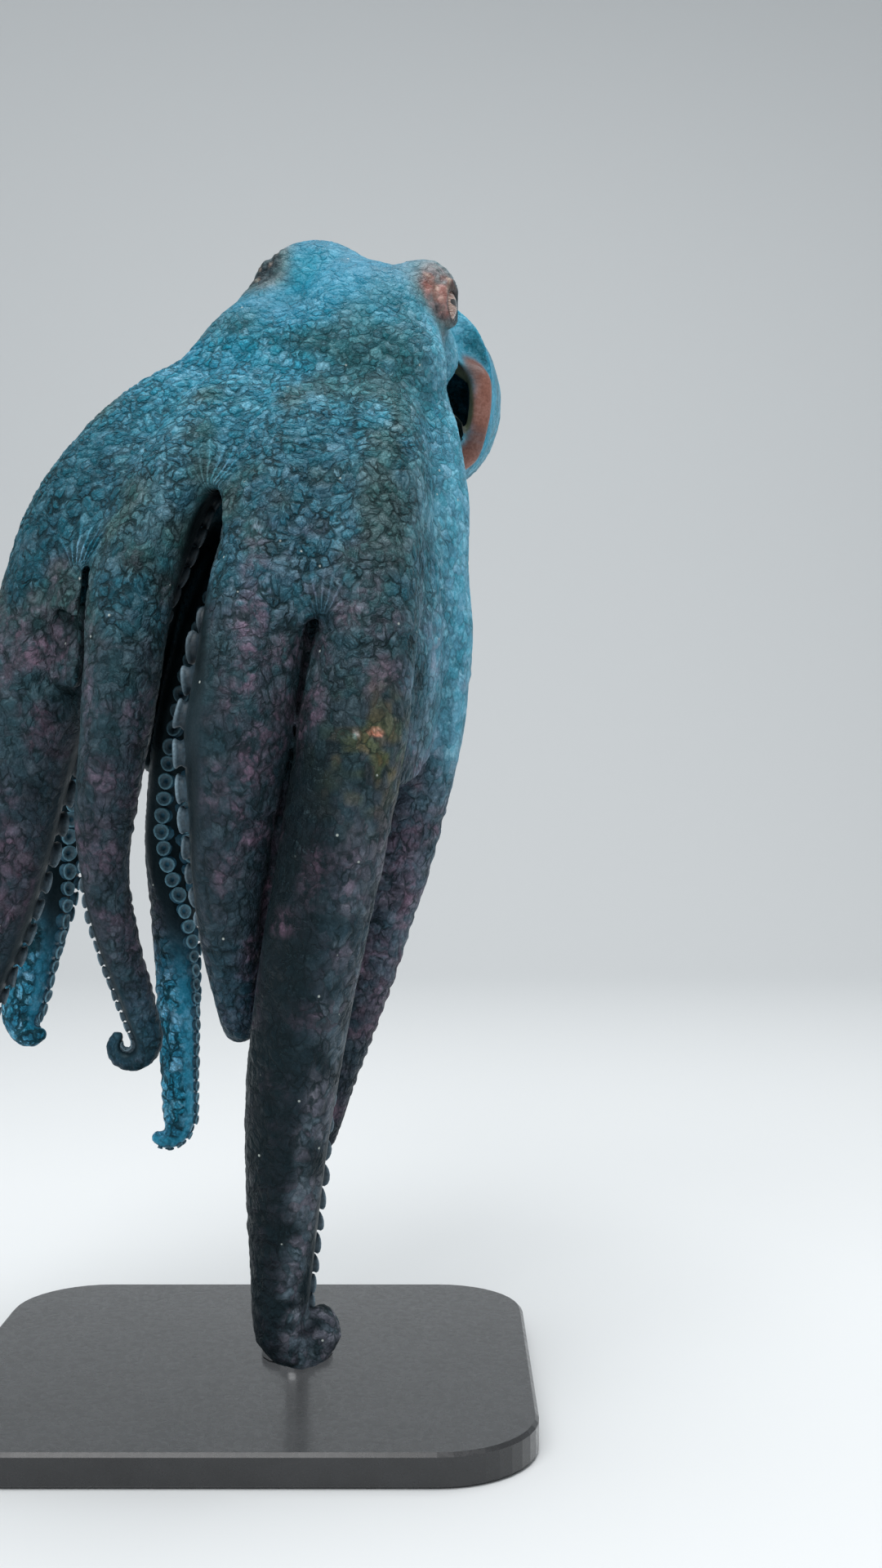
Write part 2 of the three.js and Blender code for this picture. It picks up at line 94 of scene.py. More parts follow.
FUNNEL_WALL = 2.2

ROOT_RADIUS = 14  # how far from the crown's middle each arm starts
# The station of an arm where the web's margin lies, and the one where its curl begins.
MARGIN_PLACE, WRIST_PLACE = 3, 5
CURL_STEP, CURL_TIGHTENS = 6, 0.5  # degrees between stations of a curl, and how much its radius shrinks
# Each arm's stations after its root, its radii at the stations and the tip, the ways its suckers face at the
# margin and at the curl, in degrees from +X, and its curl's radius, its degrees and the way it bends.
ARMS = {
    "r1": dict(way=((27, -49, 424), (16, -80, 363), (5, -95, 290), (1, -88, 226), (3, -78, 183)),
               girth=(17, 18.5, 21, 22.5, 14, 9.5, 3), oral=(160, 110), curl=(15, 250, 95)),
    "l1": dict(way=((57, -48, 424), (58, -78, 363), (50, -93, 290), (26, -90, 152), (20, -77, 54)),
               girth=(17, 19, 19.5, 22, 18.2, 11.5, 6), oral=(95, 50), curl=(11.5, 225, 8)),
    "r2": dict(way=((0, -41, 430), (-36, -69, 363), (-45, -80, 297), (-51, -75, 235), (-35, -68, 168)),
               girth=(17, 18.5, 18, 14.5, 10.2, 6.6, 3), oral=(100, 165), curl=(9, 240, 178)),
    "r3": dict(way=((-18, -23, 440), (-70, -34, 389), (-89, -37, 305), (-103, -35, 229), (-121, -31, 168)),
               girth=(17, 18, 21, 24, 18, 12, 4), oral=(60, 40), curl=(21, 205, 178)),
    "l2": dict(way=((72, -19, 432), (81, -29, 363), (77, -28, 292), (61, -29, 215), (34, -36, 122)),
               girth=(16, 17.5, 18, 17.5, 12.5, 7.2, 2.6), oral=(120, 150), curl=(10, 190, 130)),
    "r4": dict(way=((-8, 16, 426), (-58, 42, 377), (-90, 54, 268), (-101, 50, 224), (-114, 42, 164)),
               girth=(16, 16.5, 16, 13.5, 12.3, 10.5, 4), oral=(-50, 25), curl=(12, 130, -25)),
    "l4": dict(way=((18, 32, 414), (-22, 62, 364), (-47, 71, 258), (-45, 68, 205), (-41, 56, 109)),
               girth=(16, 16.5, 16, 13, 11.8, 8, 3.6), oral=(-75, 20), curl=(10, 125, -150)),
    "l3": dict(way=((52, 30, 408), (56, 54, 360), (41, 64, 256), (29, 60, 214), (16, 50, 162)),
               girth=(16, 16.5, 16.5, 14, 12, 9, 3), oral=(-120, -110), curl=(12, 200, -115)),
}
# The webs in order round the crown: two arms, how far along them the margin's middle lies, and the bulge.
WEBS = (
    ("r1", "l1", 0.75, 6), ("l1", "l2", 1.12, 7), ("l2", "l3", 0.85, 10), ("l3", "l4", 0.85, 8),
    ("l4", "r4", 0.9, 8), ("r4", "r3", 0.86, 14), ("r3", "r2", 0.8, 5), ("r2", "r1", 0.47, 4),
)


# ---- Vectors and curves ----
def unit(v):
    return v / np.maximum(np.linalg.norm(v, axis=-1, keepdims=True), 1e-9)


def size_of(v):
    return np.linalg.norm(v, axis=-1)


def dot(a, b):
    return np.sum(a * b, axis=-1)


def lerp(a, b, share):
    return a + (b - a) * share


def ramp(x, low, high):
    """0 at low, 1 at high and a soft step between. low may be the higher of the two."""
    t = np.clip((x - low) / (high - low), 0, 1)
    return t * t * (3 - 2 * t)


def compass(degrees):
    angle = math.radians(degrees)
    return np.array((math.cos(angle), math.sin(angle), 0.0))


def across_of(direction, along):
    return unit(direction - along * dot(direction, along)[..., None])


def turned(v, axis, angle):
    """v turned about a unit axis."""
    c, s = math.cos(angle), math.sin(angle)
    return v * c + np.cross(axis, v) * s + axis * np.dot(axis, v) * (1 - c)


def curve_point(points, place):
    """A point on the centripetal Catmull-Rom curve through the points: place 0 is the first of them."""
    i = min(int(place), len(points) - 2)
    share = place - i
    b, c = points[i], points[i + 1]
    a = points[i - 1] if i > 0 else 2 * b - c
    d = points[i + 2] if i + 2 < len(points) else 2 * c - b
    ab, bc, cd = (math.sqrt(size_of(q - p)) for p, q in ((a, b), (b, c), (c, d)))
    leave = ((b - a) / ab - (c - a) / (ab + bc) + (c - b) / bc) * bc
    arrive = ((c - b) / bc - (d - b) / (bc + cd) + (d - c) / cd) * bc
    return (b + leave * share + (3 * (c - b) - 2 * leave - arrive) * share**2
            + (2 * (b - c) + leave + arrive) * share**3)


class Arm:
    """An arm's centre line as stations with direction, sucker side, radius and length so far."""

    FINE = 12

    def __init__(self, way, girth, oral, curl):
        way = [np.array(p, float) for p in way]
        crown = np.array(CROWN, float)
        outward = unit((way[0] - crown) * (1, 1, 0))
        points = [crown + outward * ROOT_RADIUS] + way
        places = np.arange(WRIST_PLACE * self.FINE + 1) / self.FINE
        at = [curve_point(points, place) for place in places]
        radius = list(np.interp(places, np.arange(len(girth)), girth))
        facing = [self.facing(-outward, oral, place) for place in places]
        along = [unit(at[min(i + 1, len(at) - 1)] - at[max(i - 1, 0)]) for i in range(len(at))]
        sucker = [across_of(f, a) for f, a in zip(facing, along)]
        self.curl(at, radius, along, sucker, girth, *curl)
        self.at, self.along, self.oral = np.array(at), np.array(along), np.array(sucker)
        self.radius = np.array(radius)
        self.side = np.cross(self.along, self.oral)
        self.length = np.concatenate(([0], np.cumsum(size_of(np.diff(self.at, axis=0)))))
        self.margin = self.length[MARGIN_PLACE * self.FINE]

    @staticmethod
    def facing(inward, oral, place):
        margin, wrist = (compass(degrees) for degrees in oral)
        if place < MARGIN_PLACE:
            return lerp(inward, margin, ramp(place, MARGIN_PLACE / 2, MARGIN_PLACE))
        return lerp(margin, wrist, ramp(place, MARGIN_PLACE, WRIST_PLACE))

    @staticmethod
    def curl(at, radius, along, sucker, girth, curl_radius, degrees, towards):
        start, side = along[-1], across_of(compass(towards), along[-1])
        facing, point = sucker[-1], at[-1]
        axis = unit(np.cross(start, side))
        turn = math.radians(degrees)
        steps = math.ceil(degrees / CURL_STEP)
        for i in range(1, steps + 1):
            share, middle = i / steps, (i - 0.5) / steps
            stride = curl_radius * (1 - CURL_TIGHTENS * middle) * turn / steps
            point = point + turned(start, axis, turn * middle) * stride
            at.append(point)
            radius.append(lerp(girth[WRIST_PLACE], girth[WRIST_PLACE + 1], share**0.9))
            along.append(turned(start, axis, turn * share))
            sucker.append(turned(facing, axis, turn * share))

    def where(self, lengths):
        """Centre, direction, sucker side and radius at some lengths along the arm."""
        at, along, oral = (np.stack([np.interp(lengths, self.length, column) for column in values.T], axis=-1)
                           for values in (self.at, self.along, self.oral))
        along = unit(along)
        return at, along, across_of(oral, along), np.interp(lengths, self.length, self.radius)


# ---- Closed surfaces and their distances ----
def loft(rings):
    """Points and triangles of a closed surface through rings of points, with its two ends closed."""
    rings = np.asarray(rings, float)
    count, sides = rings.shape[:2]
    points = rings.reshape(-1, 3)
    ring, side = np.meshgrid(np.arange(count - 1), np.arange(sides), indexing="ij")
    a = (ring * sides + side).ravel()
    b = (ring * sides + (side + 1) % sides).ravel()
    faces = [np.stack((a, b, b + sides), 1), np.stack((a, b + sides, a + sides), 1)]
    around = np.arange(sides)
    for first, flip in ((0, True), ((count - 1) * sides, False)):
        middle = np.full(sides, len(points))
        points = np.vstack((points, rings[first // sides].mean(0)))
        edge = [middle, first + around, first + (around + 1) % sides]
        if flip:
            edge[1:] = edge[:0:-1]
        faces.append(np.stack(edge, 1))
    return points, np.concatenate(faces)


def turns(count):
    """Angles spread evenly round a circle."""
    return np.linspace(0, 2 * np.pi, count, endpoint=False)


def swept(at, side, up, wide, tall):
    """A closed surface round a centre line, with its half sizes at each point of the line for each angle."""
    return loft(at[:, None] + side[:, None] * wide[..., None] + up[:, None] * tall[..., None])


def tree_of(points):
    tree = KDTree(len(points))
    for i, at in enumerate(points):
        tree.insert(at, i)
    tree.balance()
    return tree


class Grid:
    """Signed distances on a regular grid, in millimetres and negative inside."""

    def __init__(self, low, high, voxel, band=BAND):
        self.voxel, self.band = voxel, band
        self.first = np.floor(np.array(low) / voxel).astype(int)
        self.shape = np.ceil(np.array(high) / voxel).astype(int) - self.first + 1
        self.values = np.full(self.shape, band, np.float32)

    def window(self, low, high):
        start = np.clip(np.floor(np.array(low) / self.voxel).astype(int) - self.first, 0, self.shape)
        stop = np.clip(np.ceil(np.array(high) / self.voxel).astype(int) + 1 - self.first, 0, self.shape)
        return tuple(slice(a, b) for a, b in zip(start, stop))

    def axes(self, window):
        """The coordinates of a window's grid points, shaped to combine with each other."""
        return [((np.arange(s.start, s.stop) + f) * self.voxel).astype(np.float32).reshape(shape)
                for s, f, shape in zip(window, self.first, ((-1, 1, 1), (1, -1, 1), (1, 1, -1)))]

    def of_mesh(self, points, triangles):
        """A window round a closed mesh and the distances to it there."""
        reach = self.band + self.voxel
        window = self.window(points.min(0) - reach, points.max(0) + reach)
        grid = openvdb.FloatGrid.createLevelSetFromPolygons(
            points.astype(np.float32), triangles=triangles.astype(np.uint32),
            transform=openvdb.createLinearTransform(voxelSize=self.voxel), halfWidth=self.band / self.voxel)
        values = np.empty([s.stop - s.start for s in window], np.float32)
        grid.copyToArray(values, ijk=tuple(int(s.start + f) for s, f in zip(window, self.first)))
        return window, values

    def of_lumps(self, lumps, blend=0):
        """A window round some ellipsoids and nearly the distance to their blend."""
        middles = np.array([middle for middle, _ in lumps], float)
        sizes = np.array([size for _, size in lumps], float)
        window = self.window((middles - sizes).min(0) - self.band, (middles + sizes).max(0) + self.band)
        axes = self.axes(window)
        fields = [ellipsoid_distance(axes, middle, size) for middle, size in lumps]
        nearest = np.minimum.reduce(fields)
        if not blend:
            return window, nearest
        total = sum(np.exp((nearest - field) / blend) for field in fields)
        return window, nearest - blend * np.log(total)

    def join(self, window, values, blend=0, swell=1.0):
        self.values[window] = soft_min(self.values[window], values, blend, swell)

    def cut(self, window, values, blend=0):
        self.values[window] = -soft_min(-self.values[window], values, blend)

    def surface(self):
        """Points and quads of the surface where the distance is nought."""
        grid = openvdb.FloatGrid(self.band)
        grid.copyFromArray(self.values, ijk=tuple(int(v) for v in self.first))
        grid.transform = openvdb.createLinearTransform(voxelSize=self.voxel)
        return grid.convertToQuads(0)


def ellipsoid_distance(axes, middle, size):
    scaled = np.sqrt(sum(((a - m) / s) ** 2 for a, m, s in zip(axes, middle, size)))
    slope = np.sqrt(sum(((a - m) / s**2) ** 2 for a, m, s in zip(axes, middle, size)))
    return (scaled * (scaled - 1) / np.maximum(slope, 1e-6)).astype(np.float32)


def soft_min(a, b, blend, swell=1.0):
    """The lower of two fields, blended where they meet. swell is the share of the usual fillet kept."""
    if np.isscalar(blend) and not blend:
        return np.minimum(a, b)
    share = np.clip(0.5 + 0.5 * (b - a) / np.maximum(blend, 1e-3), 0, 1)
    return b + (a - b) * share - swell * blend * share * (1 - share)


# ---- The skin's shape ----
ARM_SHAPES = {name: Arm(**values) for name, values in ARMS.items()}
ARM_SECTION = 28  # points round an arm
ARM_RING_STEP = 3.0
ARM_WIDTH = 1.03  # half width, in arm radii
ORAL_DEPTH = 0.9  # depth of the flatter sucker side
WEB_HALF = 3.8  # half of a web's thickness at its margin
WEB_ROOT_HALF = 6.5  # and by the crown
WEB_THINS = (0.2, 0.75)  # the shares of its length between which a web thins
WEB_START, WEB_END = 0.1, 0.99
WEB_OUTWARD, WEB_LIFT, MARGIN_CURVE = 0.5, 0.8, 2.2
WEB_STEPS = (28, 40)  # across and along a web


def arm_mesh(arm):
    lengths = np.linspace(0, arm.length[-1], int(arm.length[-1] / ARM_RING_STEP))
    at, along, oral, radius = arm.where(lengths)
    end = np.linspace(0, np.pi / 2, 7)[1:-1, None]  # a rounded tip
    at = np.vstack((at, at[-1] + along[-1] * radius[-1] * np.sin(end)))
    along, oral = (np.vstack((v, np.repeat(v[-1:], len(end), 0))) for v in (along, oral))
    radius = np.append(radius, radius[-1] * np.cos(end))
    side = np.cross(along, oral)
    angle = turns(ARM_SECTION)
    deep = np.where(np.cos(angle) > 0, np.cos(angle) * ORAL_DEPTH, np.cos(angle))
    return swept(at, oral, side, deep * radius[:, None], np.sin(angle) * ARM_WIDTH * radius[:, None])


def web_place(left, right, across, share, bulge, outward=WEB_OUTWARD):
    """Points on the middle of a web and the directions that stand out from it."""
    sides = []
    for name in (left, right):
        at, _, oral, radius = ARM_SHAPES[name].where(share * ARM_SHAPES[name].margin)
        sides.append(at - oral * (outward * radius)[:, None])
    middle = lerp(sides[0], sides[1], across)
    away = unit((middle - np.array(CROWN)) * (1, 1, 0))
    away = unit(away + np.stack((0 * share, 0 * share, WEB_LIFT * (1 - share)), -1))
    stand = bulge * 4 * across * (1 - across) * ramp(share, WEB_START, 1)
    return middle + away * stand[:, None], away


def web_mesh(left, right, notch, bulge, stop=WEB_END, outward=WEB_OUTWARD):
    """A sheet between two arms, thick by the crown and thin at a margin hollowed between the arms."""
    rings = []
    for across in np.linspace(0, 1, WEB_STEPS[0] + 1):
        end = notch + (stop - notch) * abs(2 * across - 1) ** MARGIN_CURVE
        share = np.linspace(WEB_START, end, WEB_STEPS[1] + 1)
        middle, away = web_place(left, right, across, share, bulge, outward)
        half = lerp(WEB_ROOT_HALF, WEB_HALF, ramp(share / end, *WEB_THINS))[:, None]
        rings.append(np.vstack((middle + away * half, (middle - away * half)[::-1])))
    return loft(rings)


def mantle_mesh(sides=48, count=64):
    p, q, r = (np.array(v, float) for v in MANTLE_AXIS)
    share = np.linspace(0, 1, count) ** 0.8  # closer together towards the end
    at = p * ((1 - share) ** 2)[:, None] + q * (2 * share * (1 - share))[:, None] + r * (share**2)[:, None]
    along = unit((q - p) * (2 * (1 - share))[:, None] + (r - q) * (2 * share)[:, None])
    side = unit(np.cross((0, 0, 1), along))
    up = np.cross(along, side)
    width, height = (np.interp(share, MANTLE_STATIONS, v)[:, None] for v in (MANTLE_WIDTH, MANTLE_HEIGHT))
    return swept(at, side, up, np.cos(turns(sides)) * width, np.sin(turns(sides)) * height)


# The rim of the mantle's opening, from the animal's left side under its neck to its right.
LIP_WAY = ((93, 32, 466), (102, 28, 460), (103.2, 26, 448), (101, 26, 435), (96, 28, 423), (84, 30, 418),
           (66, 31, 422), (50, 31, 427), (40, 30, 438), (34, 30, 455))
LIP_RADII = (3.5, 5.3, 5.8, 5.8, 5.4, 4.4, 3.4, 3, 2.6, 1.5)
# The narrow slit between arms r3 and r2: its course from the top down, half widths along X and half depth.
SLIT_WAY = ((-59.5, -62, 359), (-60.5, -62, 335), (-62.5, -62, 305), (-65, -62, 280))
SLIT_HALF_WIDTHS, SLIT_HALF_DEPTH = (0.9, 1.9, 2.2, 1.2), 24
MANTLE_FLARE = ((85, 48, 446), (25, 34, 33))
MANTLE_BLEND, NAPE_BLEND = 6.0, 15.0  # how softly the mantle joins the head, low down and on top
NAPE_HEIGHTS, FLARE_DEPTHS = (464, 484), (42, 68)  # where the one changes to the other: along Z, and along Y
GAZES = {"eye_left": (0.96, -0.26, 0.08), "eye_right": (-0.84, 0.53, 0.1)}  # the way each eye looks
# A lid's ring: how far out it lies, its half length and height, and half its thickness.
LID_OUT, LID_RING, LID_THICK = 6.4, (9.4, 8.2), 1.9
LID_SPACE = 24  # how far from the eye's middle the lids' grid reaches
EYE_OPENING_OUT, EYE_OPENING = 9.0, (5.5, 7.6, 5.4)
HEAD_JOIN, LIP_JOIN, FUNNEL_JOIN, LID_JOIN = 10.0, 3.5, 2.0, 3.0  # how softly each is joined on
SOFT_EDGE, HARD_EDGE, LID_EDGE, SOCKET_EDGE = 2.5, 1.0, 0.8, 0.3  # how round the edges of each cut are
SOCKET_INSET = 0.35  # the socket is cut this far inside the eyeball, so that no gap shows
BLEND_LOW, BLEND_HIGH = 5.0, 18.0  # how softly webs join the arms, at the margin and by the crown
BLEND_HEIGHTS = (300, 400)  # and between which heights that changes
BLEND_SWELL = 0.4  # the share of a fillet that is kept, and
BLEND_SHRINK = 0.06  # the share of the blend that is taken off all over, so that the outline stays
# Arms that press together below the web: notch, bulge, stop and how far outward they do.
CREASES = (("r1", "l1", 1.5, -3, 1.6, -0.3), ("r3", "r2", 0.95, 0, 0.99, 0.2))


def flesh_nodes():
    return [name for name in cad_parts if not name.startswith(("stand_", "eye_"))]


def smooth_curve(points, count):
    points = [np.array(p, float) for p in points]
    return np.array([curve_point(points, place) for place in np.linspace(0, len(points) - 1, count)])


def tube_mesh(points, radii, count=60, sides=20):
    at = smooth_curve(points, count)
    radius = np.interp(np.linspace(0, len(radii) - 1, count), np.arange(len(radii)), radii)
    along = unit(np.gradient(at, axis=0))
    side = across_of(np.tile((0.2, 1.0, 0.1), (count, 1)), along)
    up = np.cross(along, side)
    return swept(at, side, up, np.cos(turns(sides)) * radius[:, None], np.sin(turns(sides)) * radius[:, None])


def slit_mesh(count=30, sides=16):
    at = smooth_curve(SLIT_WAY, count)
    half = np.interp(np.linspace(0, 1, count), np.linspace(0, 1, len(SLIT_HALF_WIDTHS)), SLIT_HALF_WIDTHS)
    wide = np.array((1.0, 0, 0)) * np.cos(turns(sides))[:, None] * half[:, None, None]
    return loft(at[:, None] + wide + np.array((0, SLIT_HALF_DEPTH, 0)) * np.sin(turns(sides))[:, None])


def eye_places():
    """Each eyeball's name, middle and radius, and its own axes: out along its gaze, forward and up."""
    for node, gaze in GAZES.items():
        out = unit(np.array(gaze))
        ahead = across_of(np.array((0.0, -1.0, 0.0)), out)
        up = np.cross(out, ahead) * -np.sign(out[0])
        low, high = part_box(node)
        middle, size = np.array((low + high) / 2) / MM, np.array(high - low) / MM
        yield node, middle, size[1] / 2, np.array((out, ahead, up))


def add_eyelids(grid):
    for _, middle, radius, axes in eye_places():
        window = grid.window(middle - LID_SPACE, middle + LID_SPACE)
        x, y, z = (a - m for a, m in zip(grid.axes(window), middle))
        out, ahead, up = ((x * a[0] + y * a[1] + z * a[2]).astype(np.float32) for a in axes)
        around = np.hypot(ahead / LID_RING[0], up / LID_RING[1])
        lid = np.hypot((around - 1) * sum(LID_RING) / 2, out - LID_OUT) - LID_THICK
        grid.join(window, lid, LID_JOIN)
        grid.cut(window, ellipsoid_distance((out, ahead, up), (EYE_OPENING_OUT, 0, 0), EYE_OPENING), LID_EDGE)
        socket = ellipsoid_distance((out, ahead, up), (0, 0, 0), [radius - SOCKET_INSET] * 3)
        grid.cut(window, socket, SOCKET_EDGE)


def build_skin_grid():
    low = np.min([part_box(name)[0] for name in flesh_nodes()], axis=0) / MM - GRID_MARGIN
    high = np.max([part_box(name)[1] for name in flesh_nodes()], axis=0) / MM + GRID_MARGIN
    grid, webs = Grid(low, high, VOXEL), Grid(low, high, VOXEL)
    for arm in ARM_SHAPES.values():
        grid.join(*grid.of_mesh(*arm_mesh(arm)))
    for web in WEBS + CREASES:
        webs.join(*webs.of_mesh(*web_mesh(*web)))
    whole = grid.window(low, high)
    height = grid.axes(whole)[2]
    blend = lerp(BLEND_LOW, BLEND_HIGH, ramp(height, *BLEND_HEIGHTS))
    grid.join(whole, webs.values, blend, BLEND_SWELL)
    grid.values += BLEND_SHRINK * blend
    grid.cut(*grid.of_mesh(*slit_mesh()), SOFT_EDGE)
    grid.join(*grid.of_lumps(HEAD_LUMPS, HEAD_BLEND), HEAD_JOIN)
    window, mantle = grid.of_mesh(*mantle_mesh())
    nape = ramp(grid.axes(window)[2], *NAPE_HEIGHTS)
    grid.join(window, mantle, lerp(MANTLE_BLEND, NAPE_BLEND, nape))
    window, flare = grid.of_lumps([MANTLE_FLARE])
    behind = ramp(grid.axes(window)[1], *FLARE_DEPTHS)
    grid.join(window, flare, lerp(MANTLE_BLEND, NAPE_BLEND, behind))
    grid.cut(*grid.of_lumps([MANTLE_POCKET]), SOFT_EDGE)
    grid.join(*grid.of_mesh(*tube_mesh(LIP_WAY, LIP_RADII)), LIP_JOIN)
    base, mouth = np.array(FUNNEL_BASE, float), np.array(FUNNEL_MOUTH, float)
    grid.join(*grid.of_mesh(*tube_mesh((base, mouth), FUNNEL_RADII)), FUNNEL_JOIN)
    bore = [radius - FUNNEL_WALL for radius in FUNNEL_RADII]
    grid.cut(*grid.of_mesh(*tube_mesh((lerp(base, mouth, 0.35), lerp(base, mouth, 1.3)), bore)), HARD_EDGE)
    add_eyelids(grid)
    return grid


def add_object(name, data):
    item = bpy.data.objects.new(name, data)
    bpy.context.scene.collection.objects.link(item)
    return item


def mesh_object(name, points, faces):
    mesh = bpy.data.meshes.new(name)
    mesh.vertices.add(len(points))
    mesh.vertices.foreach_set("co", (np.asarray(points) * MM).astype(np.float32).ravel())
    corners = faces.shape[1]
    mesh.loops.add(faces.size)
    mesh.loops.foreach_set("vertex_index", faces.astype(np.int32).ravel())
    mesh.polygons.add(len(faces))
    mesh.polygons.foreach_set("loop_start", np.arange(0, faces.size, corners, dtype=np.int32))
    mesh.polygons.foreach_set("use_smooth", np.ones(len(faces), bool))
    mesh.update(calc_edges=True)
    mesh.validate()
    return add_object(name, mesh)


# ---- Where each point of the skin lies on the animal ----
class Noise:
    """Smooth random values from -1 to 1 that vary over about one unit."""

    SIDE = 32

    def __init__(self, seed):
        self.lattice = np.random.default_rng(seed).uniform(-1, 1, (self.SIDE,) * 3).astype(np.float32)

    def __call__(self, points):
        base = np.floor(points).astype(int)
        share = points - base
        share = share * share * (3 - 2 * share)
        total = 0
        for corner in np.ndindex(2, 2, 2):
            at = (base + corner) % self.SIDE
            weight = np.prod(np.where(corner, share, 1 - share), axis=1)
            total = total + weight * self.lattice[at[:, 0], at[:, 1], at[:, 2]]
        return total


def bell(distance, width):
    return np.exp(-((distance / width) ** 2))


LEAST_ROW = 3  # the smallest arm radius that a row of beads is sized by


class Places:
    """For each point: its arm, how far along and round it the point lies, and how it faces the suckers."""

    def __init__(self, points, normals):
        arms = ARM_SHAPES.values()
        tree = tree_of(np.concatenate([arm.at for arm in arms]))
        nearest = np.array([tree.find(p)[1] for p in points])
        fields = ("at", "radius", "length", "along", "side", "oral")
        at, self.radius, length, along, side, oral = (
            np.concatenate([getattr(arm, field) for arm in arms])[nearest] for field in fields)
        self.arm = np.repeat(np.arange(len(arms)), [len(arm.at) for arm in arms])[nearest]
        away = points - at
        past = dot(away, along)
        self.angle = np.arctan2(dot(away, side), -dot(away, oral))
        self.share = (length + past) / np.array([arm.margin for arm in arms])[self.arm]
        # Rows of beads stay square as the arm tapers: their number grows by one over the radius.
        rows = []
        for arm in arms:
            rows += [[0], np.cumsum(np.diff(arm.length) / np.maximum(arm.radius[1:], LEAST_ROW))]
        self.row = np.concatenate(rows)[nearest] + past / np.maximum(self.radius, LEAST_ROW)
        self.inner = ramp(dot(normals, oral), -0.15, 0.5)

    def is_arm(self, name):
        return self.arm == list(ARM_SHAPES).index(name)


# ---- Folds, grooves and markings ----
NET_SIZE = 4.6  # size of the patches that grooves net the head and web into
NET_LEVEL, NET_SQUEEZE = 400, (1.25, 0.85)  # how much flatter they are above this height and below it
NET_WARP = 1.6  # how far they are moved about
WARP_SIZE, WARP_SEEDS = 9, (40, 41, 42)  # the size of the noises that move them, and their seeds
BEADS_AROUND = 5.4  # beads round an arm, per radian
ARM_APART = 9.0  # keeps the beads of different arms apart in their own space
BEAD_WARP = 0.25
FAN_REACH = 24.0  # how far the wrinkles above a notch run
FAN_RIDGES = 30  # ridges in a full turn
FANS = {("r2", "r1"): 0.9, ("r3", "r2"): 1.2, ("r1", "l1"): 0.7, ("l1", "l2"): 0.4}
OTHER_FAN = 0.4
MUSCLE_SIZE, MUSCLE_HEIGHT = 26.0, 0.7
CREASE_SIZE, CREASE_HEIGHT = 7.0, 0.3
BROW_FOLDS = 3.0  # spacing of the folds round an eye
FAN_HEIGHT, RING_HEIGHT, BROW_HEIGHT = 0.38, 0.35, 0.35  # of fans, wrinkles round arms and brow folds
CELL_DEPTH = 0.8  # depth of the grooves between cells
RELAX_ROUNDS = 2
WARTS, WARTS_ABOVE = 130, 250  # how many there are, and the height they all lie above
WART_SIZE, WART_HEIGHT = (1.6, 3.0), (0.3, 0.8)


def fans(points):
    """The phase of the ridges that run up from each notch between two arms, and how strong they are."""
    phase, strength = np.zeros(len(points)), np.zeros(len(points))
    for left, right, notch, bulge in WEBS:
        share = np.array([notch, notch - 0.15])
        (foot, upper), (away, _) = web_place(left, right, 0.5, share, bulge)
        up = unit(upper - foot)
        if (left, right) == ("r3", "r2"):
            foot = np.array((SLIT_WAY[0][0], foot[1], SLIT_WAY[0][2]))
        from_foot = points - foot
        x, y = from_foot @ np.cross(up, away), from_foot @ up
        out, turn = np.hypot(x, y), np.arctan2(x, y + 4)
        reach = FAN_REACH * (1 + 0.35 * np.sin(turn * 17))
        here = (ramp(out, 0, 4) * (1 - ramp(out, reach * 0.3, reach))
                * (1 - ramp(np.abs(turn), 0.3, 0.95)) * (np.abs(from_foot @ away) < 16))
        here *= FANS.get((left, right), OTHER_FAN)
        stronger = here > strength
        phase[stronger] = (turn * FAN_RIDGES)[stronger]
        strength[stronger] = here[stronger]
    return phase + 1.5 * Noise(SEED + 2)(points / 9), strength


def vertex_normals(points, quads):
    across = np.cross(points[quads[:, 2]] - points[quads[:, 0]], points[quads[:, 3]] - points[quads[:, 1]])
    total = np.stack([sum(np.bincount(quads[:, c], across[:, i], len(points)) for c in range(4))
                      for i in range(3)], axis=-1)
    return unit(total)


def relaxed(points, quads, rounds):
    """The points, each moved half way to the middle of its neighbours a few times."""
    ends = np.concatenate([quads[:, (c, (c + 1) % 4)] for c in range(4)])
    count = np.maximum(np.bincount(ends[:, 0], minlength=len(points)), 1)
    for _ in range(rounds):
        middle = np.stack([np.bincount(ends[:, 0], points[ends[:, 1], i], len(points)) for i in range(3)], -1)
        points = lerp(points, middle / count[:, None], 0.5)
    return points


def largest_piece(points, quads):
    """Leaves out what isn't joined to the main body, such as crumbs from the grid."""
    label = np.arange(len(points))
    while True:
        low = label[quads].min(axis=1)
        nearer = label.copy()
        np.minimum.at(nearer, quads.ravel(), np.repeat(low, 4))
        nearer = nearer[nearer]
        if np.array_equal(nearer, label):
            break
        label = nearer
    main = np.bincount(label).argmax()
    kept = label == main
    index = np.cumsum(kept) - 1
    return points[kept], index[quads[kept[quads[:, 0]]]]


def arm_rings(points, places):
    """The wrinkles round the arms below the web, from -1 in their furrows to 1."""
    on_arm = ramp(places.share, 0.95, 1.2)
    wave = np.sin(places.row * 9 + 2.2 * Noise(SEED + 3)(points / 8))
    wave *= ramp(np.abs(places.angle), 1.9, 1.2)
    here = ramp(Noise(SEED + 5)(points / 14), -0.25, 0.35)
    return wave * on_arm * here * (1 - places.inner) * np.minimum(places.radius / 10, 1)


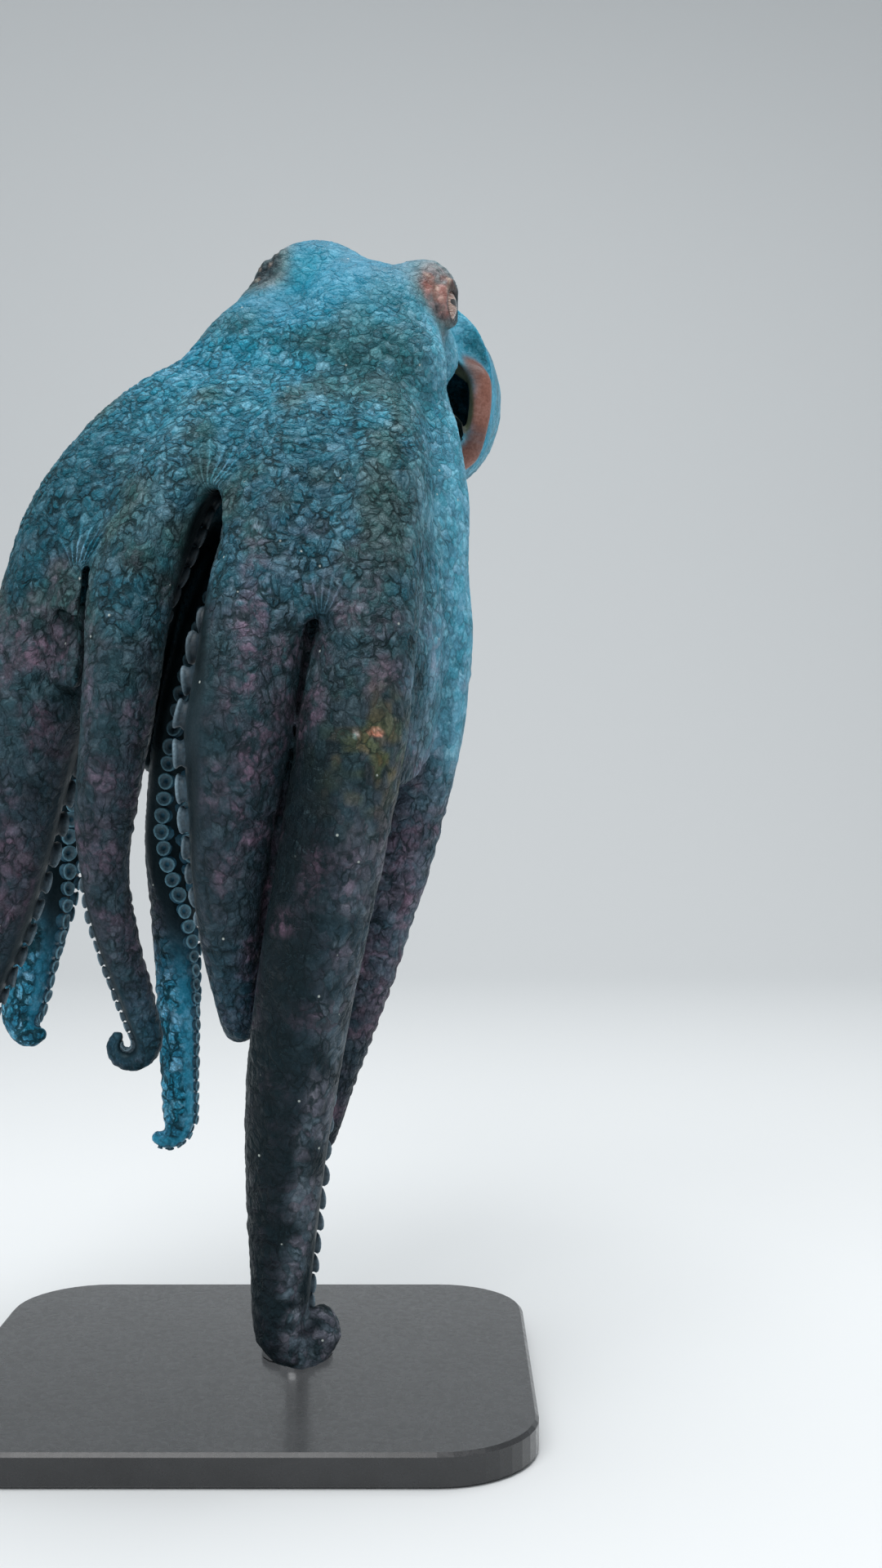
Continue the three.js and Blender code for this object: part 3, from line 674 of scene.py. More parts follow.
def fold(points, normals, places):
    """Pushes the points in and out along their normals for muscle, wrinkles, brow folds and warts."""
    flesh = 1 - ramp(places.share, 1.3, 2.4) * 0.8
    push = MUSCLE_HEIGHT * Noise(SEED)(points / MUSCLE_SIZE) * flesh
    push += CREASE_HEIGHT * Noise(SEED + 1)(points / (CREASE_SIZE, CREASE_SIZE, CREASE_SIZE * 1.6)) * flesh
    phase, strength = fans(points)
    push += FAN_HEIGHT * strength * np.cos(phase)
    push += RING_HEIGHT * arm_rings(points, places)
    for _, middle, _, axes in eye_places():
        from_eye = points - (middle + axes[0] * LID_OUT)
        far = size_of(from_eye * (1, 1, 1.2))
        ring = np.cos((far - LID_RING[0]) * 2 * np.pi / BROW_FOLDS + 2 * Noise(SEED + 4)(points / 7))
        push += BROW_HEIGHT * ring * ramp(far, 9.5, 12) * (1 - ramp(far, 15, 23))
    chance = np.random.default_rng(SEED)
    outer = np.flatnonzero((places.inner < 0.2) & (points[:, 2] > WARTS_ABOVE))
    tree = tree_of(points)
    for i in chance.choice(outer, WARTS, replace=False):
        size, height = chance.uniform(*WART_SIZE), chance.uniform(*WART_HEIGHT)
        near = tree.find_range(points[i], size * 2)
        index = np.array([hit[1] for hit in near])
        push[index] += height * bell(np.array([hit[2] for hit in near]), size * 0.75)
    return points + normals * push[:, None]


# ---- Materials ----
class Tree:
    """Adds nodes to a node tree. Sockets are passed on as inputs by name or number."""

    def __init__(self, tree):
        self.tree = tree
        self.geometry = tree.bl_idname == "GeometryNodeTree"

    def feed(self, node, inputs):
        """Links the outputs among the inputs to the node, and sets the plain values on its sockets."""
        for key, value in inputs.items():
            if isinstance(value, bpy.types.NodeSocket):
                self.tree.links.new(value, node.inputs[key])
            else:
                node.inputs[key].default_value = value

    def node(self, kind, inputs, **settings):
        node = self.tree.nodes.new(kind)
        for key, value in settings.items():
            setattr(node, key, value)
        self.feed(node, inputs)
        return node

    def attribute(self, name):
        if self.geometry:
            node = self.node("GeometryNodeInputNamedAttribute", {"Name": name}, data_type="FLOAT_VECTOR")
            return node.outputs["Attribute"]
        return self.node("ShaderNodeAttribute", {}, attribute_name=name).outputs["Vector"]

    def colour(self, name):
        return self.node("ShaderNodeAttribute", {}, attribute_name=name).outputs["Color"]

    def place(self):
        return self.node("ShaderNodeTexCoord", {}).outputs["Object"]

    def math(self, operation, *values):
        return self.node("ShaderNodeMath", dict(enumerate(values)), operation=operation).outputs[0]

    def times(self, a, b):
        return self.math("MULTIPLY", a, b)

    def plus(self, a, b):
        return self.math("ADD", a, b)

    def vector(self, operation, inputs):
        return self.node("ShaderNodeVectorMath", inputs, operation=operation).outputs[0]

    def scaled(self, vector, amount):
        return self.vector("SCALE", {0: vector, "Scale": amount})

    def stretched(self, vector, factors):
        return self.vector("MULTIPLY", {0: vector, 1: factors})

    def split(self, vector):
        return self.node("ShaderNodeSeparateXYZ", {0: vector}).outputs

    def wandering(self, start, by, scale, reach):
        """The start moved by up to about half the reach each way, by a noise over another vector."""
        noise = self.node("ShaderNodeTexNoise", {"Vector": by, "Scale": scale, "Detail": 1.0})
        centred = self.vector("SUBTRACT", {0: noise.outputs["Color"], 1: (0.5, 0.5, 0.5)})
        return self.vector("MULTIPLY_ADD", {0: centred, 1: (reach, reach, reach), 2: start})

    def step(self, value, low, high, start=0.0, end=1.0):
        inputs = {"Value": value, "From Min": low, "From Max": high, "To Min": start, "To Max": end}
        return self.node("ShaderNodeMapRange", inputs, interpolation_type="SMOOTHSTEP").outputs[0]

    def cells(self, vector, scale=1.0, feature="DISTANCE_TO_EDGE", output="Distance", randomness=1.0):
        inputs = {"Vector": vector, "Scale": scale, "Randomness": randomness}
        return self.node("ShaderNodeTexVoronoi", inputs, feature=feature).outputs[output]

    def noise(self, vector, scale, detail=3.0, roughness=0.6):
        inputs = {"Vector": vector, "Scale": scale, "Detail": detail, "Roughness": roughness}
        return self.node("ShaderNodeTexNoise", inputs).outputs[0]

    def mix(self, share, a, b, blend="MIX"):
        a, b = (c if isinstance(c, bpy.types.NodeSocket) else (*c, 1) for c in (a, b))
        inputs = {0: share, 6: a, 7: b}
        return self.node("ShaderNodeMix", inputs, data_type="RGBA", blend_type=blend).outputs[2]

    def bump(self, height, distance, strength=1.0, normal=None):
        inputs = {"Height": height, "Distance": distance, "Strength": strength}
        if normal:
            inputs["Normal"] = normal
        return self.node("ShaderNodeBump", inputs).outputs[0]


def new_material(name):
    """A material's node adder and its shader."""
    material = bpy.data.materials.new(name)
    material.use_nodes = True
    return material, Tree(material.node_tree), material.node_tree.nodes["Principled BSDF"]


def linear(*values):
    """A colour given as 0 to 255 on a screen, as linear light."""
    share = np.array(values) / 255
    return np.where(share <= 0.04045, share / 12.92, ((share + 0.055) / 1.055) ** 2.4)


SMALL_CELLS = 2.3  # how many times finer the small cells are than the large ones
# How fine the skin's grain, clouds, pink spots, patches of weak grooves, pale dots and pores are, per metre.
GRAIN_SCALE, CLOUD_SCALE, SPOT_SCALE, PATCH_SCALE, DOT_SCALE, PORE_SCALE = 900, 120, 190, 150, 130, 750
FLAT_HEIGHT = 0.7  # height of skin without cells or beads, on the scale from groove to crown


def cell_height(tree):
    """The skin's cells and beads: their height, dark grooves, the cover's parts and the cells' places."""
    times, plus, step = tree.times, tree.plus, tree.step
    net, parts = tree.attribute("net"), tree.split(tree.attribute("cover"))
    bent = tree.wandering(net, net, 0.9, 0.9)
    bent = tree.wandering(bent, net, 2.8, 0.5)
    large, small = tree.cells(bent), tree.cells(bent, SMALL_CELLS)
    from_large, from_small = tree.cells(bent, 1.0, "F1"), tree.cells(bent, SMALL_CELLS, "F1")
    open_share = step(tree.noise(net, 0.5, 2, 0.5), 0.34, 0.54, 0.45, 1.0)
    domes = plus(step(large, 0, 0.17, 0, 0.36), step(from_large, 0.75, 0.02, 0, 0.36))
    domes = plus(domes, step(small, 0, 0.2, 0, 0.13))
    domes = plus(domes, step(from_small, 0.75, 0.02, 0, 0.15))
    lines = times(step(large, 0.2, 0.05), open_share)
    lines = tree.math("MAXIMUM", lines, times(step(small, 0.2, 0.03), 0.45))
    from_bead = tree.cells(tree.attribute("beads"), feature="F1", randomness=0.85)
    beads, rings = step(from_bead, 0.66, 0.1), step(from_bead, 0.4, 0.66, 0, 0.8)
    flat = tree.math("SUBTRACT", 1.0, plus(parts[0], parts[1]))
    height = plus(plus(times(domes, parts[0]), times(beads, parts[1])), times(flat, FLAT_HEIGHT))
    groove = plus(times(lines, parts[0]), times(rings, parts[1]))
    return height, groove, parts, bent


def carve_cells(item):
    """Pushes the skin in along the same grooves that its material shows."""
    group = bpy.data.node_groups.new("cells", "GeometryNodeTree")
    for way in ("INPUT", "OUTPUT"):
        group.interface.new_socket("Geometry", in_out=way, socket_type="NodeSocketGeometry")
    tree = Tree(group)
    height, _, parts, _ = cell_height(tree)
    depth = tree.times(tree.math("SUBTRACT", height, FLAT_HEIGHT), tree.times(parts[2], CELL_DEPTH * MM))
    offset = tree.scaled(tree.node("GeometryNodeInputNormal", {}).outputs[0], depth)
    start = tree.node("NodeGroupInput", {}).outputs[0]
    moved = tree.node("GeometryNodeSetPosition", {"Geometry": start, "Offset": offset}).outputs[0]
    tree.node("NodeGroupOutput", {0: moved})
    item.modifiers.new("cells", "NODES").node_group = group
    shaped = bpy.data.meshes.new_from_object(item.evaluated_get(bpy.context.evaluated_depsgraph_get()))
    item.modifiers.clear()
    item.data = shaped


def painted(colour, *layers):
    """The colours under some layers, each a share and a colour."""
    for share, other in layers:
        colour = lerp(colour, np.asarray(other), np.clip(share, 0, 1)[:, None])
    return colour


MARK_NOISES = ((21, 34), (22, 12), (23, 5), (24, 2.6))  # seeds and sizes, from broad to tiny
# Screen colours, named for where they lie.
HEAD_TOP, HEAD_FRONT = linear(6, 116, 146), linear(46, 144, 170)
# The pale blue on the side of the web and head that faces +X is a painted rim light.
WEB_MIDDLE, WEB_LEFT, WEB_RIM_LIGHT = linear(44, 100, 118), linear(14, 88, 104), linear(96, 180, 208)
# The bright cyan on the mantle's side that faces +X is a painted rim light.
OLIVE_SKIN, MANTLE_RIM_LIGHT, MANTLE_BACK = linear(60, 84, 70), linear(12, 158, 194), linear(38, 98, 114)
# The pale colour on arm l1's +X half is painted light.
ARM_PAINTED_LIGHT = linear(104, 112, 124)
# The arms' colours darken from top to low down: painted shade, for light from above.
ARM_TOP, ARM_MIDDLE, ARM_LOW = linear(42, 68, 76), linear(44, 60, 70), linear(2, 14, 20)
WARM, PINK, OCHRE = linear(72, 62, 72), linear(138, 106, 128), linear(104, 100, 52)
# The near-black of the arms' sucker side and of the web's inner side is painted shade.
BLUE_TIP, ORAL_SHADE, WEB_INSIDE_SHADE = linear(66, 170, 208), linear(6, 18, 24), linear(5, 13, 16)
# The dark colour for the inside of the mantle's opening is painted shade.
LIP, LIP_EDGE, CAVITY_SHADE = linear(146, 98, 84), linear(108, 116, 92), linear(26, 34, 30)
EYE_SKIN, LID_SKIN = linear(150, 108, 98), linear(62, 48, 46)
SLATE_SKIN, FUNNEL_SKIN = linear(14, 24, 30), linear(92, 92, 84)
BROW_SKIN = linear(112, 104, 84)
CREAM, PEACH = linear(206, 214, 208), linear(204, 140, 110)
# How pink, how blue and how light each arm is below the web.
ARM_TINTS = {"r1": (0.5, 0.1, 0.9), "l1": (0.5, 0, 1.05), "r2": (0.35, 0.1, 1), "r3": (0.8, 0, 1.15),
             "l2": (0.85, 0, 2.6), "r4": (0.1, 0.9, 1), "l4": (0.1, 1, 1), "l3": (0.5, 0.2, 0.8)}
FLECKS = (((52.5, 290), (1.3, 2.3), CREAM), ((60, 291), (3.2, 1.6), PEACH))  # on arm l1: x and z, size
OCHRE_PATCH = (61, 284, 15)  # round them: x and z, size
PINK_BAND = (12.5, 8)  # down the front of arm r1: its middle along x and half width
# The patch of skin by each eye: its middle, radius and colour, and how strong its pale spots are.
EYE_PATCHES = {"eye_left": ((84, -21, 485), 15.5, EYE_SKIN, 0.6),
               "eye_right": ((8, -14, 496), 14.5, SLATE_SKIN, 0.25)}
EYE_RING = ((88, -28, 491), 3.1)  # the ring mark in front of the left eye, and its radius


def near_curve(points, way):
    """How far each point lies from a curve."""
    tree = tree_of(smooth_curve(way, 40))
    return np.array([tree.find(p)[2] for p in points])


def eye_marks(points, mid, fine, tiny):
    """The layers of colour round the eyes, and how bare of cells the lids' edges are."""
    layers, bare = [], 0
    for node, middle, radius, axes in eye_places():
        local = (points - middle) @ axes.T
        around = np.hypot(local[:, 1], local[:, 2])
        patch, size, shade, pale = EYE_PATCHES[node]
        far = size_of(points - patch)
        near = ramp(far + 2.5 * mid + 1.2 * fine, size, size * 0.6)
        edge = ramp(around, radius + 0.6, radius - 1.2) * ramp(local[:, 0], 3.5, 5)
        layers += [
            (ramp(far + 5 * mid, size * 1.7, size * 0.8) * 0.6, BROW_SKIN),
            (near * lerp(0.35, 1, ramp(fine + 0.6 * tiny, -0.5, 0.35)), shade),
            (near * ramp(tiny + 0.4 * fine, 0.45, 0.9) * pale, CREAM * (0.9, 0.7, 0.6)),
            (near * ramp(tiny, -0.4, -0.85) * 0.7, LID_SKIN * 0.6),
            (edge * 0.8, LID_SKIN * 0.3),
        ]
        bare = np.maximum(bare, edge)
    ring = np.abs(size_of(points - EYE_RING[0]) - EYE_RING[1])
    layers.append((ramp(ring, 1.0, 0.3) * 0.8, LID_SKIN * 0.6))
    return layers, bare


def opening_marks(points, mid):
    """The layers of colour of the mantle's opening with its lip and funnel, and how bare of cells it is."""
    lip = near_curve(points, LIP_WAY)
    pocket = ellipsoid_distance(list(points.T), *MANTLE_POCKET)
    hole = ramp(pocket, 1.0, -2.0) * ramp(lip, 5.4, 7.5)
    base, mouth = np.array(FUNNEL_BASE, float), np.array(FUNNEL_MOUTH, float)
    share = np.clip((points - base) @ (mouth - base) / np.sum((mouth - base) ** 2), 0, 1)[:, None]
    from_wall = size_of(points - lerp(base, mouth, share)) - lerp(*FUNNEL_RADII, share[:, 0])
    layers = [
        (ramp(lip + 0.8 * mid, 8.2, 5.6), lerp(LIP, LIP * 0.55, ramp(mid, -0.2, 0.8)[:, None])),
        (ramp(pocket, 0.6, -1.6) * ramp(lip, 8.5, 6), LIP_EDGE),
        # The inside of the opening is painted dark: painted shade.
        (hole, CAVITY_SHADE),
        (ramp(np.abs(from_wall + 0.4), 1.8, 0.9) * hole, FUNNEL_SKIN),
    ]
    return layers, np.maximum(ramp(lip, 9, 6.5), hole)


def marks(points, normals, places):
    """The skin's colour without its grooves, and how strongly each kind of cell shows."""
    x, y, z = points.T
    broad, mid, fine, tiny = (Noise(seed)(points / size) for seed, size in MARK_NOISES)
    high = z + 12 * broad
    on_arm = ramp(places.share + 0.12 * mid, 0.72, 1.05)
    inner = places.inner * ramp(places.share, 0.25, 0.4)
    # Where the skin faces +X on that side, above the lower arms: a pale painted rim light, with fewer cells.
    right = ramp(x + 6 * mid, 66, 96) * ramp(normals[:, 0], 0.05, 0.8) * ramp(z, 250, 300)
    mantle = ramp(y, 24, 40) * ramp(near_curve(points, MANTLE_AXIS), 53, 47)
    # The front of the mantle's side that faces +X: a painted rim light, with fewer cells.
    lit_mantle_side = mantle * ramp(normals[:, 0] + 0.25 * mid, 0.1, 0.8) * ramp(y + 8 * broad, 105, 45)
    warm, blue, light = np.array([ARM_TINTS[name] for name in ARM_SHAPES])[places.arm].T
    below = ramp(high, 405, 320) * (1 - ramp(z, 245, 130) * lerp(0.88, 0.3, places.is_arm("l2")))
    blotch = ramp(mid + 0.7 * fine, -0.1, 0.7)
    olive = ramp(broad + 0.7 * mid, -0.2, 0.55)
    colour = painted(
        np.tile(HEAD_FRONT, (len(points), 1)),
        (ramp(high, 455, 385), WEB_MIDDLE),
        (ramp(normals[:, 2], 0.1, 0.85) * ramp(z, 420, 470), HEAD_TOP),
        (ramp(x, -30, -95) * ramp(z, 300, 350), WEB_LEFT),
        (olive * ramp(z, 505, 445) * 0.66, OLIVE_SKIN),
        # Lower down, the arms get darker colours: painted shade, for light from above.
        (ramp(high, 372, 312), ARM_TOP),
        (ramp(high, 312, 250), ARM_MIDDLE),
        (ramp(high, 215, 130), ARM_LOW),
        (below * warm * lerp(0.2, 1, blotch) * 0.8, WARM),
    )

    on_l1 = places.is_arm("l1")
    # Arm l1 gets painted shade on its -X half and painted light on its +X half.
    from_edge = x - lerp(18, 50, ramp(z, 60, 290))
    l1_painted_shade = on_l1 * ramp(from_edge, 4, -9) * on_arm * ramp(z, 320, 280)
    l1_painted_light = on_l1 * ramp(from_edge, 0, 9) * on_arm * ramp(z, 280, 220)
    l1_painted_light = l1_painted_light * ramp(mid + 0.8 * fine, -0.7, 0.6)
    tip = blue * ramp(high, 230, 180)
    front_l1 = on_l1 * ramp(y, -84, -96)
    ochre = bell(np.hypot(x - OCHRE_PATCH[0], (z - OCHRE_PATCH[1]) * 0.7), OCHRE_PATCH[2]) * front_l1
    # The sucker side of the arms below the web and the web's inner side are painted near-black: painted
    # shade.
    oral = inner * ramp(places.share, 0.9, 1.1)
    colour = painted(
        colour * lerp(1.0, light, on_arm)[:, None],
        (l1_painted_shade * 0.9, ARM_LOW * 0.6),
        (l1_painted_light * 0.8, ARM_PAINTED_LIGHT),
        (blue * ramp(high, 215, 165), BLUE_TIP),
        (ramp(np.abs(fine + 0.5 * tiny), 0.2, 0.05) * tip * 0.5, ARM_LOW * 0.5),
        (ochre * lerp(0.1, 1, ramp(fine + 0.5 * mid, -0.3, 0.5)) * 0.8, OCHRE),
        (right * 0.85, WEB_RIM_LIGHT),
        (mantle * 0.6, MANTLE_BACK),
        (mantle * ramp(mid + 0.7 * fine, 0.0, 0.8) * 0.5, WARM),
        (lit_mantle_side, MANTLE_RIM_LIGHT),
        (oral * (1 - 0.9 * blue * ramp(z, 225, 175)), ORAL_SHADE),
        (inner * (1 - ramp(places.share, 0.85, 1.1)) * (1 - mantle), WEB_INSIDE_SHADE),
    )
    for (at_x, at_z), (wide, tall), shade in FLECKS:
        off = np.hypot((x - at_x) / wide, (z - at_z) / tall) + 0.35 * tiny + 0.25 * fine
        colour = painted(colour, (ramp(off, 1.1, 0.7) * front_l1 * 0.85, shade))
    eye_layers, lids = eye_marks(points, mid, fine, tiny)
    opening_layers, opening = opening_marks(points, mid)
    colour = painted(colour, *eye_layers, *opening_layers)

    bare = np.clip(np.maximum.reduce([lit_mantle_side * 0.15 + right * 0.35, lids, opening]), 0, 1)
    covered = (1 - bare) * (1 - inner)
    plain_arm = on_arm * (1 - tip)
    net = lerp(1.0, 0.72, plain_arm) * lerp(1.0, 0.45, ramp(z, 452, 488)) * covered
    beads = 0.28 * plain_arm * (1 - ramp(places.inner, 0.2, 0.8)) * (1 - bare) * (1 - 0.8 * l1_painted_shade)
    depth = (1 - bare) * np.clip(places.radius / 9, 0.15, 1) * lerp(1.0, 0.8, on_arm)
    groove = (1 - bare * 0.8) * lerp(0.75, 1.0, ramp(z, 460, 380)) * (1 + 0.5 * tip)
    band = places.is_arm("r1") * bell(x - PINK_BAND[0], PINK_BAND[1]) * ramp(mid, -0.7, 0.1)
    pink = np.maximum(lerp(0.3, 1, warm) * ramp(mid + 0.5 * broad, -0.3, 0.7), band)
    pink = below * pink * covered * (1 - ochre)
    return colour, np.stack((net, beads, depth), -1), np.stack((groove, pink, bare), -1)


def skin_material():
    material, tree, shader = new_material("octopus skin")
    times, plus, step = tree.times, tree.plus, tree.step
    place = tree.place()
    height, lines, (net, beads, depth), bent = cell_height(tree)
    depth_of_groove, pinkness, bare = tree.split(tree.attribute("finish"))
    phase, strength, furrow = tree.split(tree.attribute("fan"))
    grain, cloud = tree.noise(place, GRAIN_SCALE), tree.noise(place, CLOUD_SCALE)

    # How light each place is: by cell, small cell, grain, cloud and streaks along the arms.
    tone = tree.split(tree.cells(bent, 1.0, "F1", "Color"))
    small_tone = tree.split(tree.cells(bent, SMALL_CELLS, "F1", "Color"))
    light = tree.math("MULTIPLY_ADD", step(tone[0], 0, 1, -0.26, 0.3), net, 1.0)
    light = plus(light, step(grain, 0.3, 0.7, -0.16, 0.16))
    light = times(light, tree.math("MULTIPLY_ADD", step(small_tone[0], 0, 1, -0.15, 0.16), net, 1.0))
    light = times(light, step(cloud, 0.3, 0.7, 0.8, 1.2))
    along = tree.stretched(tree.attribute("beads"), (0.5, 0.09, 1.0))
    streak = step(tree.noise(along, 1.0, 2, 0.5), 0.3, 0.7, -0.35, 0.4)
    light = times(light, tree.math("MULTIPLY_ADD", streak, beads, 1.0))

    # The colour between the grooves, with a tint for each cell and pink spots.
    tint = tree.mix(step(tone[1], 0.2, 0.9), (0.82, 1.05, 1.06), (1.3, 0.99, 1.03))
    lit = tree.mix(net, tree.scaled(tree.colour("macro"), light), tint, "MULTIPLY")
    inputs = {"Saturation": step(light, 0.7, 1.7, 1.04, 0.78), "Color": lit}
    lit = tree.node("ShaderNodeHueSaturation", inputs).outputs[0]
    spots = times(step(tree.noise(place, SPOT_SCALE), 0.36, 0.6), pinkness)
    spots = times(spots, step(tone[2], 0.15, 0.75, 0.35, 1.0))
    lit = tree.mix(times(spots, 0.6), lit, tree.scaled(tuple(PINK), light))

    # Dark grooves, painted shade in furrows and fan valleys, painted highlights on crowns and fan ridges,
    # pale dots.
    patchy = step(tree.noise(place, PATCH_SCALE, 2, 0.5), 0.35, 0.6, 0.55, 1.0)
    groove = times(lines, times(depth_of_groove, patchy))
    # The furrows round the arms are darkened: painted shade.
    dark = tree.math("MAXIMUM", groove, times(step(furrow, 0.15, 0.9), 0.6))
    # The cells' crowns are lightened: painted highlights.
    crown = times(step(height, 0.8, 1.0), tree.math("SUBTRACT", 1.0, bare))
    ridge = tree.math("COSINE", phase)
    chosen = tree.split(tree.cells(place, DOT_SCALE, "F1", "Color"))[0]
    speck = times(step(tree.cells(place, DOT_SCALE, "F1"), 0.09, 0.04), step(chosen, 0.8, 0.84))
    skin = lit
    for share, shade in (
        (dark, (0.12, 0.17, 0.16)),
        (times(crown, step(grain, 0.4, 0.65, 0.1, 0.75)), (1.4, 1.36, 1.38)),
        # The fans' ridges are lightened and their valleys darkened: painted light and painted shade.
        (times(step(ridge, 0.2, 0.95), times(strength, 0.8)), (1.9, 1.8, 1.85)),
        (times(step(ridge, -0.3, -0.95), times(strength, 0.9)), (0.35, 0.38, 0.36)),
    ):
        skin = tree.mix(share, skin, tree.mix(1.0, lit, shade, "MULTIPLY"))
    skin = tree.mix(times(speck, 0.8), skin, CREAM * 0.8)

    relief = plus(times(height, depth), times(times(ridge, strength), 0.5))
    normal = tree.bump(tree.math("MULTIPLY_ADD", furrow, -0.3, relief), 1.1 * MM)
    pores = tree.cells(place, PORE_SCALE, "F1")
    tree.feed(shader, {
        "Base Color": skin,
        "Roughness": plus(step(cloud, 0.3, 0.7, 0.33, 0.52), times(groove, 0.25)),
        "Normal": tree.bump(plus(times(grain, 0.7), times(pores, 0.4)), 0.22 * MM, 0.7, normal),
        "Specular IOR Level": 0.24,
        "Specular Tint": (0.5, 0.85, 1, 1),
        "Sheen Weight": 0.03,
        "Sheen Roughness": 0.45,
        "Sheen Tint": (0.6, 0.85, 0.95, 1),
        "Coat Weight": 0.03,
        "Coat Roughness": 0.3,
    })
    return material


def store(mesh, name, values, kind="FLOAT_VECTOR"):
    values = np.asarray(values, np.float32)
    if kind == "FLOAT_COLOR":
        values = np.hstack((values, np.ones((len(values), 1), np.float32)))
    field = "color" if kind == "FLOAT_COLOR" else "vector"
    mesh.attributes.new(name, kind, "POINT").data.foreach_set(field, np.ascontiguousarray(values).ravel())


def make_skin():
    points, quads = build_skin_grid().surface()
    points, quads = largest_piece(points.astype(float), quads.astype(int))
    points = relaxed(points, quads, RELAX_ROUNDS)
    normals = vertex_normals(points, quads)
    places = Places(points, normals)
    folded = fold(points, normals, places)
    item = mesh_object("skin", folded, quads)
    warp = np.stack([Noise(seed)(points / WARP_SIZE) for seed in WARP_SEEDS], axis=-1)
    drawn = points + NET_WARP * warp
    high = points[:, 2] - NET_LEVEL
    drawn[:, 2] = NET_LEVEL + high * np.where(high > 0, *NET_SQUEEZE) + NET_WARP * warp[:, 2]
    store(item.data, "net", drawn / NET_SIZE)
    around = (places.angle * BEADS_AROUND, places.row * BEADS_AROUND, places.arm * ARM_APART)
    store(item.data, "beads", np.stack(around, axis=-1) + BEAD_WARP * warp)
    phase, strength = fans(points)
    rings = np.maximum(-arm_rings(points, places), 0)
    store(item.data, "fan", np.stack((phase, strength, rings), axis=-1))
    colour, cover, finish = marks(points, normals, places)
    store(item.data, "macro", colour, "FLOAT_COLOR")
    store(item.data, "cover", cover)
    store(item.data, "finish", finish)
    carve_cells(item)
    item.data.materials.append(skin_material())
    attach(item, "root")
    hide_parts(*flesh_nodes())
    return item


# ---- Suckers ----
SUCKER_START = 0.3  # share of the way to the margin where the suckers begin
SUCKER_TURN = 27  # degrees that each of the two rows stands off the middle of the sucker side
SUCKER_WIDTH = 0.6  # a sucker's width, in arm radii
SUCKER_SPACING = 0.53  # from one sucker to the next in the other row, in sucker widths
SUCKER_SMALLEST = 1.1
SUCKER_SIDES = 14
# Suckers under the web are darkened: painted shade.
UNDER_WEB_SHADE = 0.35  # how light the suckers under the web are
# A sucker's section from its foot over the rim into the cup: each ring's distance from the middle and its
# height, in half widths, and how pale it is.
SUCKER_RINGS = (
    (1.35, -0.45, 0), (1, -0.02, 0.05), (0.84, 0.24, 0.15), (0.92, 0.44, 0.4), (1.02, 0.56, 0.8),
    (1, 0.68, 1), (0.87, 0.74, 0.9), (0.7, 0.62, 0.55), (0.5, 0.5, 0.5), (0.34, 0.44, 0.4), (0.24, 0.16, 0),
    (0.01, 0.1, 0),
)
SUCKER_SKIN, SUCKER_RIM, SUCKER_CUP = linear(62, 78, 88), linear(112, 132, 144), linear(40, 52, 60)
BLUE_SUCKER_RIM, BLUE_SUCKER_CUP = linear(110, 160, 180), linear(50, 104, 128)


def sucker_places(arm, skin):
    """The foot, outward direction, width, arm direction and share of the way to the margin of each sucker."""
    length, row = SUCKER_START * arm.margin, 1
    while length < arm.length[-1] - 1.5:
        at, along, oral, radius = (v[0] for v in arm.where(np.array([length])))
        width = max(radius * SUCKER_WIDTH * lerp(0.6, 1, ramp(length, 0, arm.margin)), SUCKER_SMALLEST)
        away = turned(oral, along, math.radians(SUCKER_TURN) * row)
        hit, normal, _, _ = skin.ray_cast(Vector(at * MM), Vector(away), radius * 2.2 * MM)
        if hit is not None:
            outward = np.array(normal) * (1 if np.dot(normal, away) > 0 else -1)
            yield np.array(hit) / MM, unit(outward + away), width, along, length / arm.margin
        length += width * SUCKER_SPACING
        row = -row


def sucker_material():
    material, tree, shader = new_material("suckers")
    grain = tree.noise(tree.place(), 700)
    tree.feed(shader, {
        "Base Color": tree.scaled(tree.colour("macro"), tree.step(grain, 0.3, 0.7, 0.72, 1.28)),
        "Roughness": tree.step(grain, 0.3, 0.7, 0.42, 0.6),
        "Normal": tree.bump(grain, 0.3 * MM, 0.8),
        "Specular IOR Level": 0.3,
    })
    return material


def sucker_faces():
    """The quads between the rings of one sucker."""
    ring, side = np.meshgrid(np.arange(len(SUCKER_RINGS) - 1), np.arange(SUCKER_SIDES), indexing="ij")
    here, beside = ring * SUCKER_SIDES + side, ring * SUCKER_SIDES + (side + 1) % SUCKER_SIDES
    return np.stack((here, beside, beside + SUCKER_SIDES, here + SUCKER_SIDES), -1).reshape(-1, 4)


